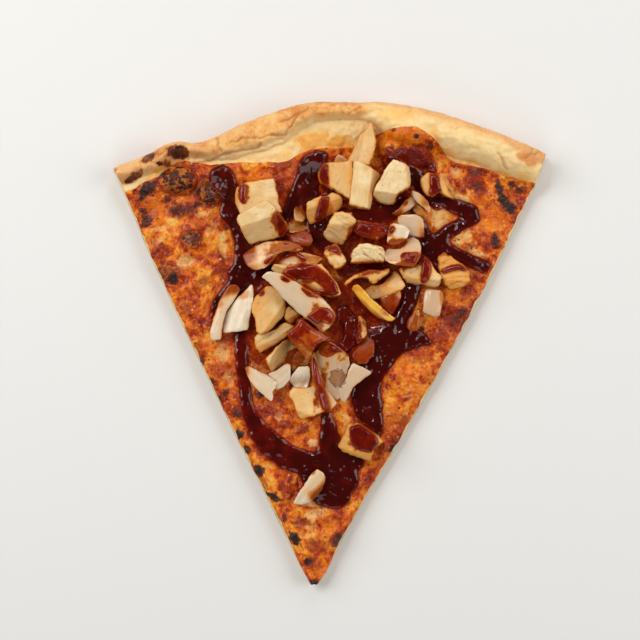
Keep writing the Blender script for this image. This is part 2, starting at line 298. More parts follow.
# Toppings, the lowest first. Dice: turn of the grain, how golden, stained and torn, the plan
# outline, and where the top falls away (x, y, direction, slope in degrees). Slices: turn of the
# veins, how golden, stained and pink, the plan outline and the thickness.
TOPPINGS = {
    "chicken_gold": (15, .85, .15, .9, [(50.5, 36), (51, 41.6), (54, 42.8), (58, 40), (61.5, 37),
        (65, 34.2), (65.5, 29), (61.6, 26), (56.7, 24.9), (53.2, 27.8), (51.6, 31.8)],
        [(58, 36.6, 80, 30), (59, 29, -95, 34)]),
    "chicken_side": (-12, .35, .05, .15, [(32, 35), (35, 35.6), (40, 36), (42.5, 39), (44, 40.8),
        (47.5, 37.6), (48.6, 35), (50, 33), (51.9, 31.2), (51, 26.7), (48.2, 26), (44, 27.4),
        (40, 27.4), (35.8, 28.6), (33.6, 31.8)], [(46, 29.6, -95, 36), (37, 31, -120, 22)]),
    "onion_striped": (80, .45, .0, .85, [(44.9, 25.4), (53.1, 24.8), (53.4, 20), (51.3, 12.7),
        (48.8, 12.1), (43.4, 14.5), (44, 21.8)], 2.0),
    "onion_chip_right": (84, .35, .2, .2, [(38, 12.5), (39.8, 15), (42.3, 15.8), (42.3, 11),
        (41.4, 5.8), (38, 5.3), (36, 7), (36.5, 11)], 1.8),
    "onion_stained_right": (52, .5, .6, .1, [(23, 21.5), (28, 23.5), (33, 25), (33.5, 21.5),
        (31.5, 17), (29.5, 13.5), (26.5, 15), (24.5, 17.5)], 1.8),
    "chicken_slant": (32, .42, .05, .15, [(16.4, 25.4), (19.5, 27), (23.2, 27.4), (25.3, 28.2),
        (30.4, 33.9), (32, 33), (35.4, 27.4), (33.2, 25), (29, 23), (24.5, 21.2), (20, 20.3),
        (17.5, 22.5)], [(28, 26.2, -105, 30)]),
    "onion_caramel": (40, .5, .8, .1, [(12, -3), (15, 1), (18, 4.5), (20.5, 2.5), (21.2, -1.5),
        (20.5, -5), (17.5, -9.5), (14, -9.8), (11, -8), (10.2, -5.5)], 2.0),
    "chicken_sliver": (82, .3, .1, .3, [(13.4, 13), (14.8, 12.8), (17, 9.8), (17.3, 7), (17.7, 4.6),
        (16, 2), (13, -.4), (12.4, 1.5), (13.2, 5), (13.2, 8.5)], [(15.4, 7, 10, 30)]),
    "chicken_low": (-20, .6, .0, .3, [(3.8, -48), (5.4, -44.8), (8.5, -37.4), (10.5, -37.6),
        (12.9, -36.6), (18, -39.5), (22.8, -43.2), (25, -45.6), (21.6, -48), (19.8, -52),
        (18.8, -55), (14, -53.5), (9.7, -51.8), (6, -50.5)], [(8.8, -44, 180, 34),
        (14, -50.5, -100, 34)]),
    "onion_tip": (48, .3, .0, .0, [(-5.6, -58.4), (-2.5, -60.8), (-1.7, -63.9), (-4.1, -69.4),
        (-8.8, -74.2), (-12.7, -75.4), (-17.4, -75), (-14.3, -69.4), (-10.4, -63.9), (-8, -60)],
        2.2),
    "chicken_left": (56, .52, .0, .1, [(-36.2, 17.8), (-36.4, 14.6), (-34.6, 12), (-34, 5.4),
        (-32.4, 4), (-29, 5.4), (-27, 6.9), (-24.2, 10), (-21.6, 12.4), (-20.4, 16), (-20.6, 20.6),
        (-22.8, 24), (-25.6, 26.2), (-29, 26.8), (-32, 24.6), (-34.8, 21.4)],
        [(-30.2, 18.4, 136, 24), (-25, 13, -35, 36)]),
    "chicken_shred": (28, .4, .0, .8, [(-35.2, 2.3), (-33.8, 4.4), (-30, 4.8), (-26, 6.5),
        (-21, 9.8), (-16.3, 8.4), (-18.5, 5), (-20.1, 2.8), (-25.2, -.6), (-29, -2.6),
        (-32.4, -4.5), (-34.6, -2)], [(-27, 1.4, -62, 26)]),
    "chicken_fibre": (42, .42, .0, .8, [(-29.9, -7), (-26.5, -4), (-24.5, -1.2), (-20, 2.2),
        (-16.9, 2.9), (-14.5, -2), (-17, -7), (-20, -9.2), (-27, -13.7), (-28.6, -10.5)],
        [(-21, -5.4, -48, 24)]),
    "onion_stained_mid": (10, .4, .5, .1, [(-16.7, -5.2), (-14.2, -3.5), (-9.1, -8.6),
        (-9.9, -10.3), (-14.2, -10.7), (-18, -13.7), (-18, -8.6)], 1.8),
    "onion_fan": (38, .35, .0, .35, [(-29.5, -14.5), (-25.2, -12.8), (-19.3, -9), (-18.2, -10.3),
        (-18.2, -16.2), (-19.3, -18.3), (-22.7, -21.3), (-26.1, -21.7), (-24.4, -17.9)], 1.8),
    "onion_round": (70, .12, .0, .0, [(-14.2, -10.7), (-9.1, -10.7), (-9.1, -16.2), (-10.4, -20.9),
        (-12.9, -21.7), (-16.7, -20.5), (-18.8, -17.9), (-17.6, -14.5)], 2.6),
    "onion_curl": (-47, .25, .0, .35, [(-39.8, -11), (-37.4, -10.8), (-33, -13.1), (-29.3, -14.8),
        (-24.5, -18), (-25, -20.5), (-26.8, -22.6), (-26.2, -24.6), (-27, -27.2), (-29, -26),
        (-31.4, -23.6), (-35.2, -20.2), (-37.6, -17.2), (-38.9, -14)], 2.0),
    "chicken_flat": (-15, .5, .0, .25, [(-17.1, -20.3), (-19, -22.8), (-19.1, -25), (-17.5, -26.6),
        (-15.9, -31), (-14.8, -34), (-13.2, -35.6), (-5.9, -33.2), (-2, -31.8), (-1.5, -28),
        (-4.5, -22), (-7, -19.6), (-10, -20.6), (-13.5, -20.9)], [(-10, -33.4, -108, 20)]),
    "onion_wide": (84, .3, .0, .75, [(-4.1, -.1), (-.1, 1.4), (8.5, -4.9), (9.3, -9.6),
        (7.8, -14.3), (6.2, -25), (3, -26.9), (-1.7, -23), (-4.8, -17.5), (-8, -9.6), (-6.4, -4.1)],
        1.8),
    "onion_flap": (57, .3, .0, .6, [(10.4, -8.6), (14.4, -10.7), (18.9, -12.7), (19.4, -14),
        (17, -15.3), (14.6, -17.6), (11, -20.3), (9.3, -23.8), (7.2, -28), (5.4, -27), (4.6, -24.6),
        (3.8, -21.4), (6.5, -18)], 1.6),
    "onion_edge": (-70, .8, .35, .0, [(-8.8, -6), (-7, -3.6), (-5.5, -9), (-3.6, -15),
        (-1.5, -20.5), (1.2, -25), (3.6, -27.8), (2.5, -29.5), (.8, -31), (-1, -32.6), (-3.5, -31),
        (-5, -27), (-6.8, -22), (-8.4, -14)], 2.0),
    "onion_white": (74, .22, .0, .0, [(-36, 28.2), (-35.3, 24.6), (-35.8, 19), (-36.4, 16),
        (-37.7, 8.4), (-38, 6.2), (-43.2, 5.5), (-50, 4.5), (-50.4, 8.5), (-48.4, 14.5),
        (-46.2, 17.4), (-43.4, 20.8), (-39.2, 25)], 2.4),
    "onion_strip": (74, .8, .1, .3, [(-55, 1.3), (-56, 4.6), (-55.3, 8.5), (-53.4, 14.5),
        (-51.8, 19.6), (-49.5, 24), (-47.3, 27.2), (-43.5, 27.6), (-41.5, 25.5), (-43.5, 22),
        (-45.3, 19), (-48, 15.5), (-49.8, 9.6), (-50.4, 5), (-50.7, 1.7)], 2.0),
    "chicken_brown": (30, .7, .1, .4, [(-19.3, 17.3), (-14.2, 14.3), (-13.8, 12.2), (-15.9, 9.2),
        (-18.4, 8.8), (-21.4, 11.8), (-20.8, 15.2)], [(-17.4, 12.4, -60, 30)]),
    "onion_stained": (-40, .4, .75, .1, [(-20.1, 5), (-15.5, 8), (-13.3, 12.6), (-8.2, 7.5),
        (-3.6, 5), (.2, 2.4), (-7, -.9), (-8.7, -6), (-9.5, -8.6), (-13.3, -4.3), (-17.6, .7)],
        1.8),
    "chicken_sauced": (-22, .3, .0, .2, [(-27.5, 34.5), (-26, 37), (-20, 36.5), (-12, 36),
        (-7, 36.5), (-4, 37), (-1, 33.5), (2, 30), (4.5, 26), (5.5, 22.5), (1, 21.5), (-4, 22),
        (-10, 25.3), (-14, 27.2), (-19, 30), (-24, 32)], [(-12, 29.6, -118, 24)]),
    "onion_band": (-37, .15, .0, .5, [(-31.6, 30.9), (-27.8, 33.4), (-21.8, 32.1), (-16.7, 29.2),
        (-9.1, 24.5), (-3.6, 21.5), (3.2, 13.9), (1.9, 9.2), (-3.6, 4.6), (-6.8, 8.4),
        (-14.2, 13.9), (-21, 20.3), (-26.1, 26.6), (-29.5, 29.2)], 2.0),
    "onion_brown": (-20, .3, 1.3, .1, [(-20, 50.5), (-15, 52.5), (-11, 53), (-8.5, 51), (-7.5, 48),
        (-9, 45.5), (-14, 45), (-19, 46.5)], 1.8),
    "onion_loop": (-4, .9, .1, .0, [(-27.2, 36.5), (-26, 39), (-24.6, 40.8), (-20.2, 42.6),
        (-14.6, 42.8), (-9, 41.4), (-4.2, 40.2), (-3, 39), (-6, 37), (-7.4, 35.4), (-12, 35.2),
        (-17, 35.2), (-22, 35.6)], 1.8),
    "onion_arch": (18, .6, .15, .2, [(-40.6, 41), (-37.4, 43.8), (-34.4, 45.4), (-30.9, 47),
        (-26.5, 47.5), (-20, 47.9), (-15, 46.4), (-12, 43.9), (-15, 42.4), (-20, 43), (-24.2, 41.3),
        (-26.5, 38.1), (-29.6, 35), (-35.2, 33.7), (-38.8, 36.5), (-40, 39.3)], 2.0),
    "onion_sliver": (6, .2, .1, .2, [(-20.3, 54.5), (-18.5, 56), (-13.3, 55.6), (-9.5, 54.8),
        (-9.2, 53.8), (-13, 52.6), (-17, 51.6), (-19.8, 52.4)], 1.5),
    "onion_lump": (70, .35, .5, .2, [(-16.5, 57.5), (-12.5, 56.5), (-10.8, 59), (-10.6, 64),
        (-12, 66.4), (-15, 65.5), (-17, 62)], 1.8),
    "chicken_square": (4, .34, .0, .0, [(-41, 74.5), (-35, 75.2), (-25.9, 76.7), (-25.3, 74.5),
        (-25, 71.5), (-23.7, 68.6), (-24.2, 66), (-22.8, 63.8), (-22, 61), (-26, 58.5), (-38, 58.5),
        (-42, 60.5), (-43.8, 66), (-43.9, 70), (-43.3, 72.3)], [(-41.3, 68, 178, 44)]),
    "chicken_cube": (23, .22, .0, .05, [(-43, 57.5), (-42, 59.4), (-29.1, 66.8), (-26, 63.6),
        (-23, 60), (-20, 56.3), (-19.2, 53.3), (-21.5, 50), (-26.5, 48.6), (-30, 47.8), (-33, 47.5),
        (-36.4, 46), (-37.6, 46.6), (-40, 50.5), (-41.6, 54.5)], [(-30, 57.6, -69, 30),
        (-24.8, 54, -15, 28)]),
    "chicken_bar": (28, .6, .0, .1, [(-10.8, 65.6), (-5, 68), (-1.1, 68.6), (1.3, 70), (4.5, 69.2),
        (6, 67.4), (6, 64.6), (3, 61.4), (-1, 59.5), (-5, 57), (-9, 55.5), (-10.8, 59)],
        [(1, 65.8, -72, 32)]),
    "chicken_corner": (40, .1, .0, .1, [(1.9, 83), (3, 86.5), (4.1, 87.9), (5.8, 87.2), (9.2, 85.3),
        (10.5, 84), (6, 81.5)], []),
    "chicken_leaf": (78, .42, .0, .25, [(8.4, 85.2), (10.8, 90), (12.8, 94.3), (13.6, 96.6),
        (16.8, 99.2), (18.6, 102.4), (19.6, 102.6), (20.3, 100), (21.4, 94.3), (21.4, 91),
        (20, 86.8), (18.4, 82.6), (14, 83.5), (10.4, 84)], [(14.8, 92, 168, 14)]),
    "chicken_top": (87, .5, .0, .35, [(-5.5, 77.5), (-5, 80), (-3.5, 83), (-1.5, 83.9), (5, 83.8),
        (10.3, 84.9), (11, 81), (10.5, 75), (9.3, 67.2), (8, 67.2), (5.7, 69), (1.7, 71.4),
        (-1, 72.5), (-4.5, 74.5)], [(-.6, 79, 188, 36), (9.6, 75, 2, 30)]),
    "chicken_tall": (84, .25, .0, .2, [(10.8, 84.6), (14, 84.4), (17.5, 82.5), (23, 79.4),
        (23.4, 78), (21.8, 75), (20, 70), (19.7, 66), (19, 62.8), (18.3, 62.2), (14.4, 63),
        (9.4, 64.2), (9, 66.6), (9.4, 71.5), (10.3, 78)], [(18.7, 72, -8, 46)]),
    "chicken_brick": (62, .02, .0, .08, [(20.3, 68.6), (20.5, 71.5), (21.5, 73.5), (24.5, 78),
        (26, 81.2), (29.2, 84.9), (30.8, 84.6), (36.7, 81.8), (37.3, 78), (37.5, 75), (36.7, 72.5),
        (33, 70), (31, 68.5), (30.4, 65), (27.6, 64.5), (24.4, 65.4), (22.6, 66.2)],
        [(26, 69.9, -98, 38), (35.4, 76, 8, 36)]),
    "chicken_rough": (-27, .3, .0, .55, [(2.2, 60.6), (-.3, 56.8), (-1, 53.7), (-2.7, 51.8),
        (-2.5, 49.8), (-1, 48), (1.7, 46.6), (5.8, 46), (7, 47.6), (10, 51.2), (12.5, 57.2),
        (9.5, 60), (6, 61)], [(5, 55, -86, 34)]),
    "chicken_glazed": (-12, .5, .55, .3, [(11.5, 55.5), (13, 57.6), (18, 56.6), (24.5, 55.6),
        (28.6, 54.6), (28.4, 52.6), (26.6, 50.4), (22.3, 47.9), (17, 49.2), (12.5, 50.5), (11, 53)],
        [(20, 50.8, -100, 30)]),
    "chicken_nub": (-62, .42, .0, .4, [(-3, 41.2), (-2, 43.5), (0, 45.3), (2.5, 46.5), (4.2, 45.3),
        (5.5, 42.5), (8, 38), (5.5, 35), (2.1, 34.6), (-.3, 38)], [(2, 42.8, 100, 30)]),
    "chicken_torn_low": (20, .55, .0, .7, [(6.6, 28), (10.4, 31.2), (14.8, 33.2), (19, 34.3),
        (25, 34), (27.5, 35.4), (28, 33), (24, 30.5), (20.2, 27.4), (17.5, 30.2), (14, 30.6),
        (10.8, 29.6), (7.6, 26.8)], []),
    "chicken_torn": (-20, .16, .0, .9, [(9.8, 41), (10.8, 43.4), (13.2, 46), (18, 46.4),
        (24.5, 44.5), (26.2, 41), (25, 37.6), (18, 37.4), (13, 36.8), (10, 37.3)], []),
    "onion_brown_back": (-60, .3, .2, .9, [(40.4, 64.8), (42.2, 64.8), (45.8, 60), (44.6, 56.3),
        (43.4, 58.2), (38.5, 62.4)], 1.6),
    "onion_chip_back": (20, .3, .1, .7, [(33.1, 63.6), (35, 66.8), (38.5, 68.5), (40.4, 65.4),
        (37.9, 62.4), (31.3, 59.4), (28.8, 60.6)], 1.6),
    "onion_petal": (-50, .15, .0, .5, [(38, 71.2), (40.2, 70.6), (43, 69), (45.4, 66.4), (47.1, 63),
        (46.7, 60.4), (45.6, 61.8), (41.4, 65), (38.6, 67.8)], 1.5),
    "onion_plate": (-12, .1, .0, .62, [(31.6, 59.4), (34.9, 60), (40.4, 60), (43.7, 57.6),
        (44.2, 49.1), (41.6, 49.4), (37.3, 50.3), (35.7, 53.3), (31.8, 55.7)], 1.8),
    "onion_pink": (20, .45, .0, .8, [(38.5, 49.7), (41.6, 47.9), (42.5, 44.8), (41.8, 40),
        (39.1, 35.1), (36.1, 35.7), (30, 36.4), (25.2, 38.4), (26.4, 44.2), (33.1, 43.6),
        (35.5, 47.9)], 1.8),
    "onion_dipped": (8, .25, .0, .0, [(27.6, 55.1), (30, 55.6), (34.9, 54.7), (37.3, 52.1),
        (36.1, 49.1), (32.5, 46), (28.8, 45.4), (26.4, 46.6), (27, 50.9)], 2.2),
    "chicken_wedge": (-38, .5, .0, .2, [(42, 76.4), (44.7, 78.9), (46, 79.6), (51, 78.9),
        (53.4, 76.4), (54.6, 73.7), (56.1, 69), (58, 67), (54, 68.4), (50.6, 70.4), (48, 67.6),
        (46, 68.6), (43.6, 70.4)], [(51.4, 75, 40, 30)]),
    "pepper_strip": (-41, .0, .1, .0, [(10.6, 26.6), (13, 27.6), (16, 24.5), (19, 20.8),
        (21.3, 19.2), (24.6, 16), (28.6, 12.8), (30.6, 11.6), (28.4, 10), (24.4, 11.2),
        (22.6, 11.8), (18.8, 15), (15.6, 18), (12, 23), (10.2, 25)], 3.0),
}


# ---------------------------------------------------------------- helpers

def linear(rgb):
    """Scene colour of an sRGB colour from 0 to 255."""
    return tuple((c / 255 / 12.92) if c <= 10 else ((c / 255 + .055) / 1.055) ** 2.4 for c in rgb)


def smooth(low, high, x):
    """Smooth step of an array from 0 at low to 1 at high."""
    t = np.clip((np.asarray(x, float) - low) / (high - low), 0, 1)
    return t * t * (3 - 2 * t)


def plan(x, y):
    """Points at height 0, for noise that varies with the plan only."""
    return np.column_stack([x, y, np.zeros(len(x))])


def wobble(points, size, seed):
    """Smooth unevenness, about -1 to 1, with features of the given size."""
    rng = np.random.default_rng(seed)
    order = rng.permutation(256)
    slopes = rng.normal(size=(256, 3))
    slopes /= np.linalg.norm(slopes, axis=1)[:, None]
    p = np.asarray(points, float) / size
    cell = np.floor(p).astype(int)
    f = p - cell
    ease = f * f * f * (f * (f * 6 - 15) + 10)
    total = np.zeros(len(p))
    for corner in np.ndindex(2, 2, 2):
        c = cell + corner
        pick = order[(order[(order[c[:, 0] & 255] + c[:, 1]) & 255] + c[:, 2]) & 255]
        share = np.prod(np.where(corner, ease, 1 - ease), axis=1)
        total += share * ((f - corner) * slopes[pick]).sum(axis=1)
    return total * 1.7


def paint(points, spots, ragged=.3, size=2.6, seed=5):
    """How strongly each point lies in a list of soft, ragged spots."""
    x, y = points[:, 0], points[:, 1]
    flat = plan(x, y)
    edge = ragged * (wobble(flat, size, seed) + .6 * wobble(flat, size * .42, seed + 1))
    total = np.zeros(len(x))
    for sx, sy, a, b, turn, amount in spots:
        c, s = math.cos(math.radians(turn)), math.sin(math.radians(turn))
        near = np.flatnonzero(np.hypot(x - sx, y - sy) < 1.8 * max(a, b))
        dx, dy = x[near] - sx, y[near] - sy
        d = np.hypot((dx * c + dy * s) / a, (dy * c - dx * s) / b) + edge[near]
        total[near] = np.maximum(total[near], amount * (1 - smooth(.55, 1.2, d)))
    return total


def domes(x, y, swellings):
    """Height added by round swellings; the high ones are blisters with a crisp foot."""
    total = np.zeros(np.shape(x))
    for cx, cy, a, b, height in swellings:
        d = np.hypot((x - cx) / a, (y - cy) / b)
        soft = np.exp(-1.6 * d * d) * (1 - smooth(1.2, 1.6, d))
        crisp = np.sqrt(np.clip(1 - (d / .96) ** 2, 0, 1))
        total += height * (.2 * soft + .8 * crisp if height > 3.5 else soft)
    return total


def outline(u, v):
    """Plan position: u runs from the left cut side to the right one, v from tip to rim."""
    ly = LEFT_Y[0] + (LEFT_Y[-1] - LEFT_Y[0]) * v
    ry = RIGHT_Y[0] + (RIGHT_Y[-1] - RIGHT_Y[0]) * v
    lx = np.interp(ly, LEFT_Y, LEFT_X)
    rx = np.interp(ry, RIGHT_Y, RIGHT_X)
    ay = np.interp(ARC_X[0] + (ARC_X[-1] - ARC_X[0]) * u, ARC_X, ARC_Y)
    bow = ay - ((1 - u) * ARC_Y[0] + u * ARC_Y[-1])
    return (1 - u) * lx + u * rx, (1 - u) * ly + u * ry + bow * v


def cheese_edge(u):
    """Distance of the cheese boundary from the outer edge of the rim."""
    flat = plan(u * RIM_SPAN, u * 0)
    rounded = sum(np.interp(u + k, CHEESE_AT, CHEESE_D) for k in (-.024, -.012, 0, .012, .024)) / 5
    return rounded + 1.1 * wobble(flat, 11, 35) + .5 * wobble(flat, 4, 36)


def seam(u):
    """Distance of the fold in the rim from its outer edge."""
    flat = plan(u * RIM_SPAN, u * 0)
    uneven = 1.2 * wobble(flat, 15, 33) + .5 * wobble(flat, 5, 34)
    return np.minimum(np.interp(u, SEAM_AT, SEAM_D) + uneven, cheese_edge(u) - 3.5)


def folded_share(u):
    """1 where the rim is folded over and 0 where it is a plain roll."""
    return 1 - smooth(*FOLD_STOP, u)


def bread_top(u, d, x, y):
    """Height of the bread's upper face at a distance d from the outer edge."""
    flat = plan(x, y)
    fold = seam(u)
    folded = folded_share(u)
    ledge = (LEDGE_H * (1 - smooth(fold + 4, fold + 20, d))
             + 2.2 * (1 - folded) * (1 - smooth(8, 22, d)))
    swell = 1 + .13 * wobble(flat, 26, 31) + .06 * wobble(flat, 9, 32)
    crown = fold * .52 + (1 - folded) * 4.2
    reach = fold * .62 + (1 - folded) * 8.0
    roll = np.maximum(0, 1 - ((d - crown) / reach) ** 2) ** .6 * (ROLL_H - LEDGE_H * .55) * swell
    groove = 1.0 * folded * np.exp(-((d - fold) / 1.1) ** 2)
    low = 1 - .18 * (1 - smooth(0, .05, u)) - .22 * smooth(.95, 1, u)
    return BASE_T + (ledge + roll) * low - groove + domes(x, y, BLISTERS)


def lean_in(amount, u, v):
    """Sideways offset that draws a row in evenly, less near the tip."""
    half = (outline(np.ones_like(v), v)[0] - outline(np.zeros_like(v), v)[0]) / 2
    return amount * (2 * u - 1) * np.minimum(1, half / 14)


def to_line(x, y, start, end):
    """Distance of points from a line, and how far along it they are, from 0 to 1."""
    (ax, ay), (bx, by) = start, end
    dx, dy = bx - ax, by - ay
    t = np.clip(((x - ax) * dx + (y - ay) * dy) / max(1e-6, dx * dx + dy * dy), 0, 1)
    return np.hypot(x - ax - t * dx, y - ay - t * dy), t


def crack_depth(x, y, cracks, width):
    """How near each point is to one of several thin cracks."""
    flat = plan(x, y)
    x, y = x + .7 * wobble(flat, 3.5, 37), y + .7 * wobble(flat, 3.5, 38)
    total = np.zeros(len(x))
    for line in cracks:
        for start, end in zip(line, line[1:]):
            d = to_line(x, y, start, end)[0]
            total = np.maximum(total, np.exp(-(d / width) ** 2))
    return total


def sheet(name, columns, rows, rings):
    """A closed grid: x and y run from 0 to 1 over its top, and z counts the rings of its sides."""
    bm = bmesh.new()
    bmesh.ops.create_grid(bm, x_segments=columns, y_segments=rows, size=.5)
    bmesh.ops.translate(bm, verts=bm.verts, vec=(.5, .5, 0))
    edges = [e for e in bm.edges if e.is_boundary]
    for _ in range(rings):
        made = bmesh.ops.extrude_edge_only(bm, edges=edges)["geom"]
        edges = [g for g in made if isinstance(g, bmesh.types.BMEdge) and g.is_boundary]
        bmesh.ops.translate(bm, verts=list({v for e in edges for v in e.verts}), vec=(0, 0, -1))
    bmesh.ops.contextual_create(bm, geom=edges)
    bmesh.ops.recalc_face_normals(bm, faces=bm.faces[:])
    return finished(name, bm)


def thicken(bm, way):
    """Closes the faces of a bmesh into a slab with a copy of them, moved by a vector."""
    made = bmesh.ops.extrude_face_region(bm, geom=bm.faces[:], use_keep_orig=True)["geom"]
    bmesh.ops.translate(bm, verts=[g for g in made if isinstance(g, bmesh.types.BMVert)], vec=way)
    bmesh.ops.recalc_face_normals(bm, faces=bm.faces[:])


def finished(name, bm):
    """A linked object with the mesh that a bmesh holds."""
    mesh = bpy.data.meshes.new(name)
    bm.to_mesh(mesh)
    bm.free()
    obj = bpy.data.objects.new(name, mesh)
    bpy.context.scene.collection.objects.link(obj)
    return obj


def places(obj, scale=1.0):
    """Vertex positions as an array."""
    co = np.empty(len(obj.data.vertices) * 3, np.float32)
    obj.data.vertices.foreach_get("co", co)
    return co.reshape(-1, 3).astype(float) * scale


def move_to(obj, points):
    """Sets the vertex positions, given in millimetres."""
    obj.data.vertices.foreach_set("co", (np.asarray(points) * MM).astype(np.float32).ravel())
    obj.data.update()


def normals(obj):
    """Vertex normals as an array."""
    out = np.empty(len(obj.data.vertices) * 3, np.float32)
    obj.data.vertex_normals.foreach_get("vector", out)
    return out.reshape(-1, 3).astype(float)


def mark(obj, **values):
    """Stores values for each vertex under names that a material reads."""
    for name, value in values.items():
        value = np.asarray(value, np.float32)
        kind, key = ("FLOAT_VECTOR", "vector") if value.ndim == 2 else ("FLOAT", "value")
        layer = obj.data.attributes.new(name, kind, "POINT")
        layer.data.foreach_set(key, value.ravel())


def relax(points, edges, steps, amount=.5):
    """Draws each vertex towards its neighbours."""
    count = np.maximum(1, np.bincount(edges.ravel(), minlength=len(points)))[:, None]
    for _ in range(steps):
        total = np.column_stack([
            np.bincount(edges[:, 0], points[edges[:, 1], k], len(points))
            + np.bincount(edges[:, 1], points[edges[:, 0], k], len(points)) for k in range(3)])
        points = points + amount * (total / count - points)
    return points


def nodes_of(kind):
    """Names of the model's nodes of one kind, in order."""
    return sorted(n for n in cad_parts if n.startswith(kind))


def put_on(obj, node_names, material):
    """Gives a piece its material, body, slot and the nodes it stands for."""
    obj.data.materials.clear()
    obj.data.materials.append(material)
    obj.data.shade_smooth()
    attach(obj, "root")
    if node_names:
        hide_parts(*node_names)
    return obj


# ---------------------------------------------------------------- grids

def grid_points():
    """x and y of the middle of each cell."""
    return np.meshgrid(GRID_X + np.arange(NX) * CELL, GRID_Y + np.arange(NY) * CELL)


def blur(field, radius, passes=3):
    """A grid smoothed over a radius in millimetres."""
    n = max(1, round(radius / CELL))
    for _ in range(passes):
        for axis in (0, 1):
            pad = [(n + 1, n) if k == axis else (0, 0) for k in (0, 1)]
            run = np.cumsum(np.pad(field, pad, mode="edge"), axis=axis)
            size = field.shape[axis]
            high = np.take(run, np.arange(2 * n + 1, 2 * n + 1 + size), axis=axis)
            field = (high - np.take(run, np.arange(size), axis=axis)) / (2 * n + 1)
    return field


def blended(field, i, j):
    """Values of a grid at places between its columns and rows."""
    i = np.clip(i, 0, field.shape[1] - 1.001)
    j = np.clip(j, 0, field.shape[0] - 1.001)
    i0, j0 = i.astype(int), j.astype(int)
    a, b = i - i0, j - j0
    return ((1 - b) * ((1 - a) * field[j0, i0] + a * field[j0, i0 + 1])
            + b * ((1 - a) * field[j0 + 1, i0] + a * field[j0 + 1, i0 + 1]))


def look_up(field, x, y):
    """Values of a grid at points, blended between cells."""
    return blended(field, (np.asarray(x) - GRID_X) / CELL, (np.asarray(y) - GRID_Y) / CELL)


def window(xs, ys, reach, more=0):
    """Rows and columns of the grid that lie within reach of some places."""
    i0, j0 = int((min(xs) - reach - GRID_X) / CELL), int((min(ys) - reach - GRID_Y) / CELL)
    i1, j1 = int((max(xs) + reach - GRID_X) / CELL), int((max(ys) + reach - GRID_Y) / CELL)
    return slice(max(0, j0), min(NY, j1 + more)), slice(max(0, i0), min(NX, i1 + more))


def strokes(table):
    """Share of sauce in each cell, and how thick it would lie there."""
    gx, gy = grid_points()
    share, thick = np.zeros((NY, NX)), np.zeros((NY, NX))
    for thickness, path in table:
        for (ax, ay, aw), (bx, by, bw) in zip(path, path[1:]):
            span = window((ax, bx), (ay, by), max(aw, bw) / 2 + 1, 2)
            x, y = gx[span], gy[span]
            d, t = to_line(x, y, (ax, ay), (bx, by))
            inside = d < (aw + (bw - aw) * t) / 2
            inside &= x < np.interp(y, RIGHT_Y, RIGHT_X) - SAUCE_INSET
            share[span] = np.maximum(share[span], inside)
            thick[span] = np.maximum(thick[span], inside * thickness)
    return share, thick


def tree_of(obj):
    """The faces of a piece, for sending rays at."""
    return BVHTree.FromPolygons([v.co[:] for v in obj.data.vertices],
                                [p.vertices[:] for p in obj.data.polygons])


def drop(tree, x, y):
    """Where a ray down at x, y in millimetres meets a piece, and its normal there."""
    return tree.ray_cast(Vector((x * MM, y * MM, RAY_START)), DOWN)[:2]


def height_under(objects, cells):
    """Height of the uppermost surface of some pieces over each marked cell."""
    gx, gy = grid_points()
    out = np.full((NY, NX), BASE_T)
    for obj in objects:
        tree, co = tree_of(obj), places(obj, 1000)
        low, high = co.min(axis=0), co.max(axis=0)
        box = cells & (gx > low[0]) & (gx < high[0]) & (gy > low[1]) & (gy < high[1])
        for j, i in zip(*np.nonzero(box)):
            hit = drop(tree, gx[j, i], gy[j, i])[0]
            if hit is not None:
                out[j, i] = max(out[j, i], hit.z * 1000)
    return out


# ---------------------------------------------------------------- materials

class Value:
    """A shader value: arithmetic on it adds Math nodes."""

    def __init__(self, shader, socket):
        self.shader, self.socket = shader, socket

    def math(self, operation, first, second, clamp=False):
        """A Math node on two values or numbers."""
        return self.shader.node("ShaderNodeMath", {"operation": operation, "use_clamp": clamp},
                                {0: first, 1: second})

    def __add__(self, other):
        return self.math("ADD", self, other)

    def __sub__(self, other):
        return self.math("SUBTRACT", self, other)

    def __mul__(self, other):
        return self.math("MULTIPLY", self, other)

    def __rsub__(self, other):
        return self.math("SUBTRACT", other, self)

    __radd__, __rmul__ = __add__, __mul__

    def clamp(self):
        """The value kept between 0 and 1."""
        return self.math("ADD", self, 0.0, clamp=True)

    def above(self, level, softness):
        """0 below a level and 1 above it, with a soft edge."""
        return self.math("MULTIPLY", self - (level - softness), 1 / (2 * softness), clamp=True)


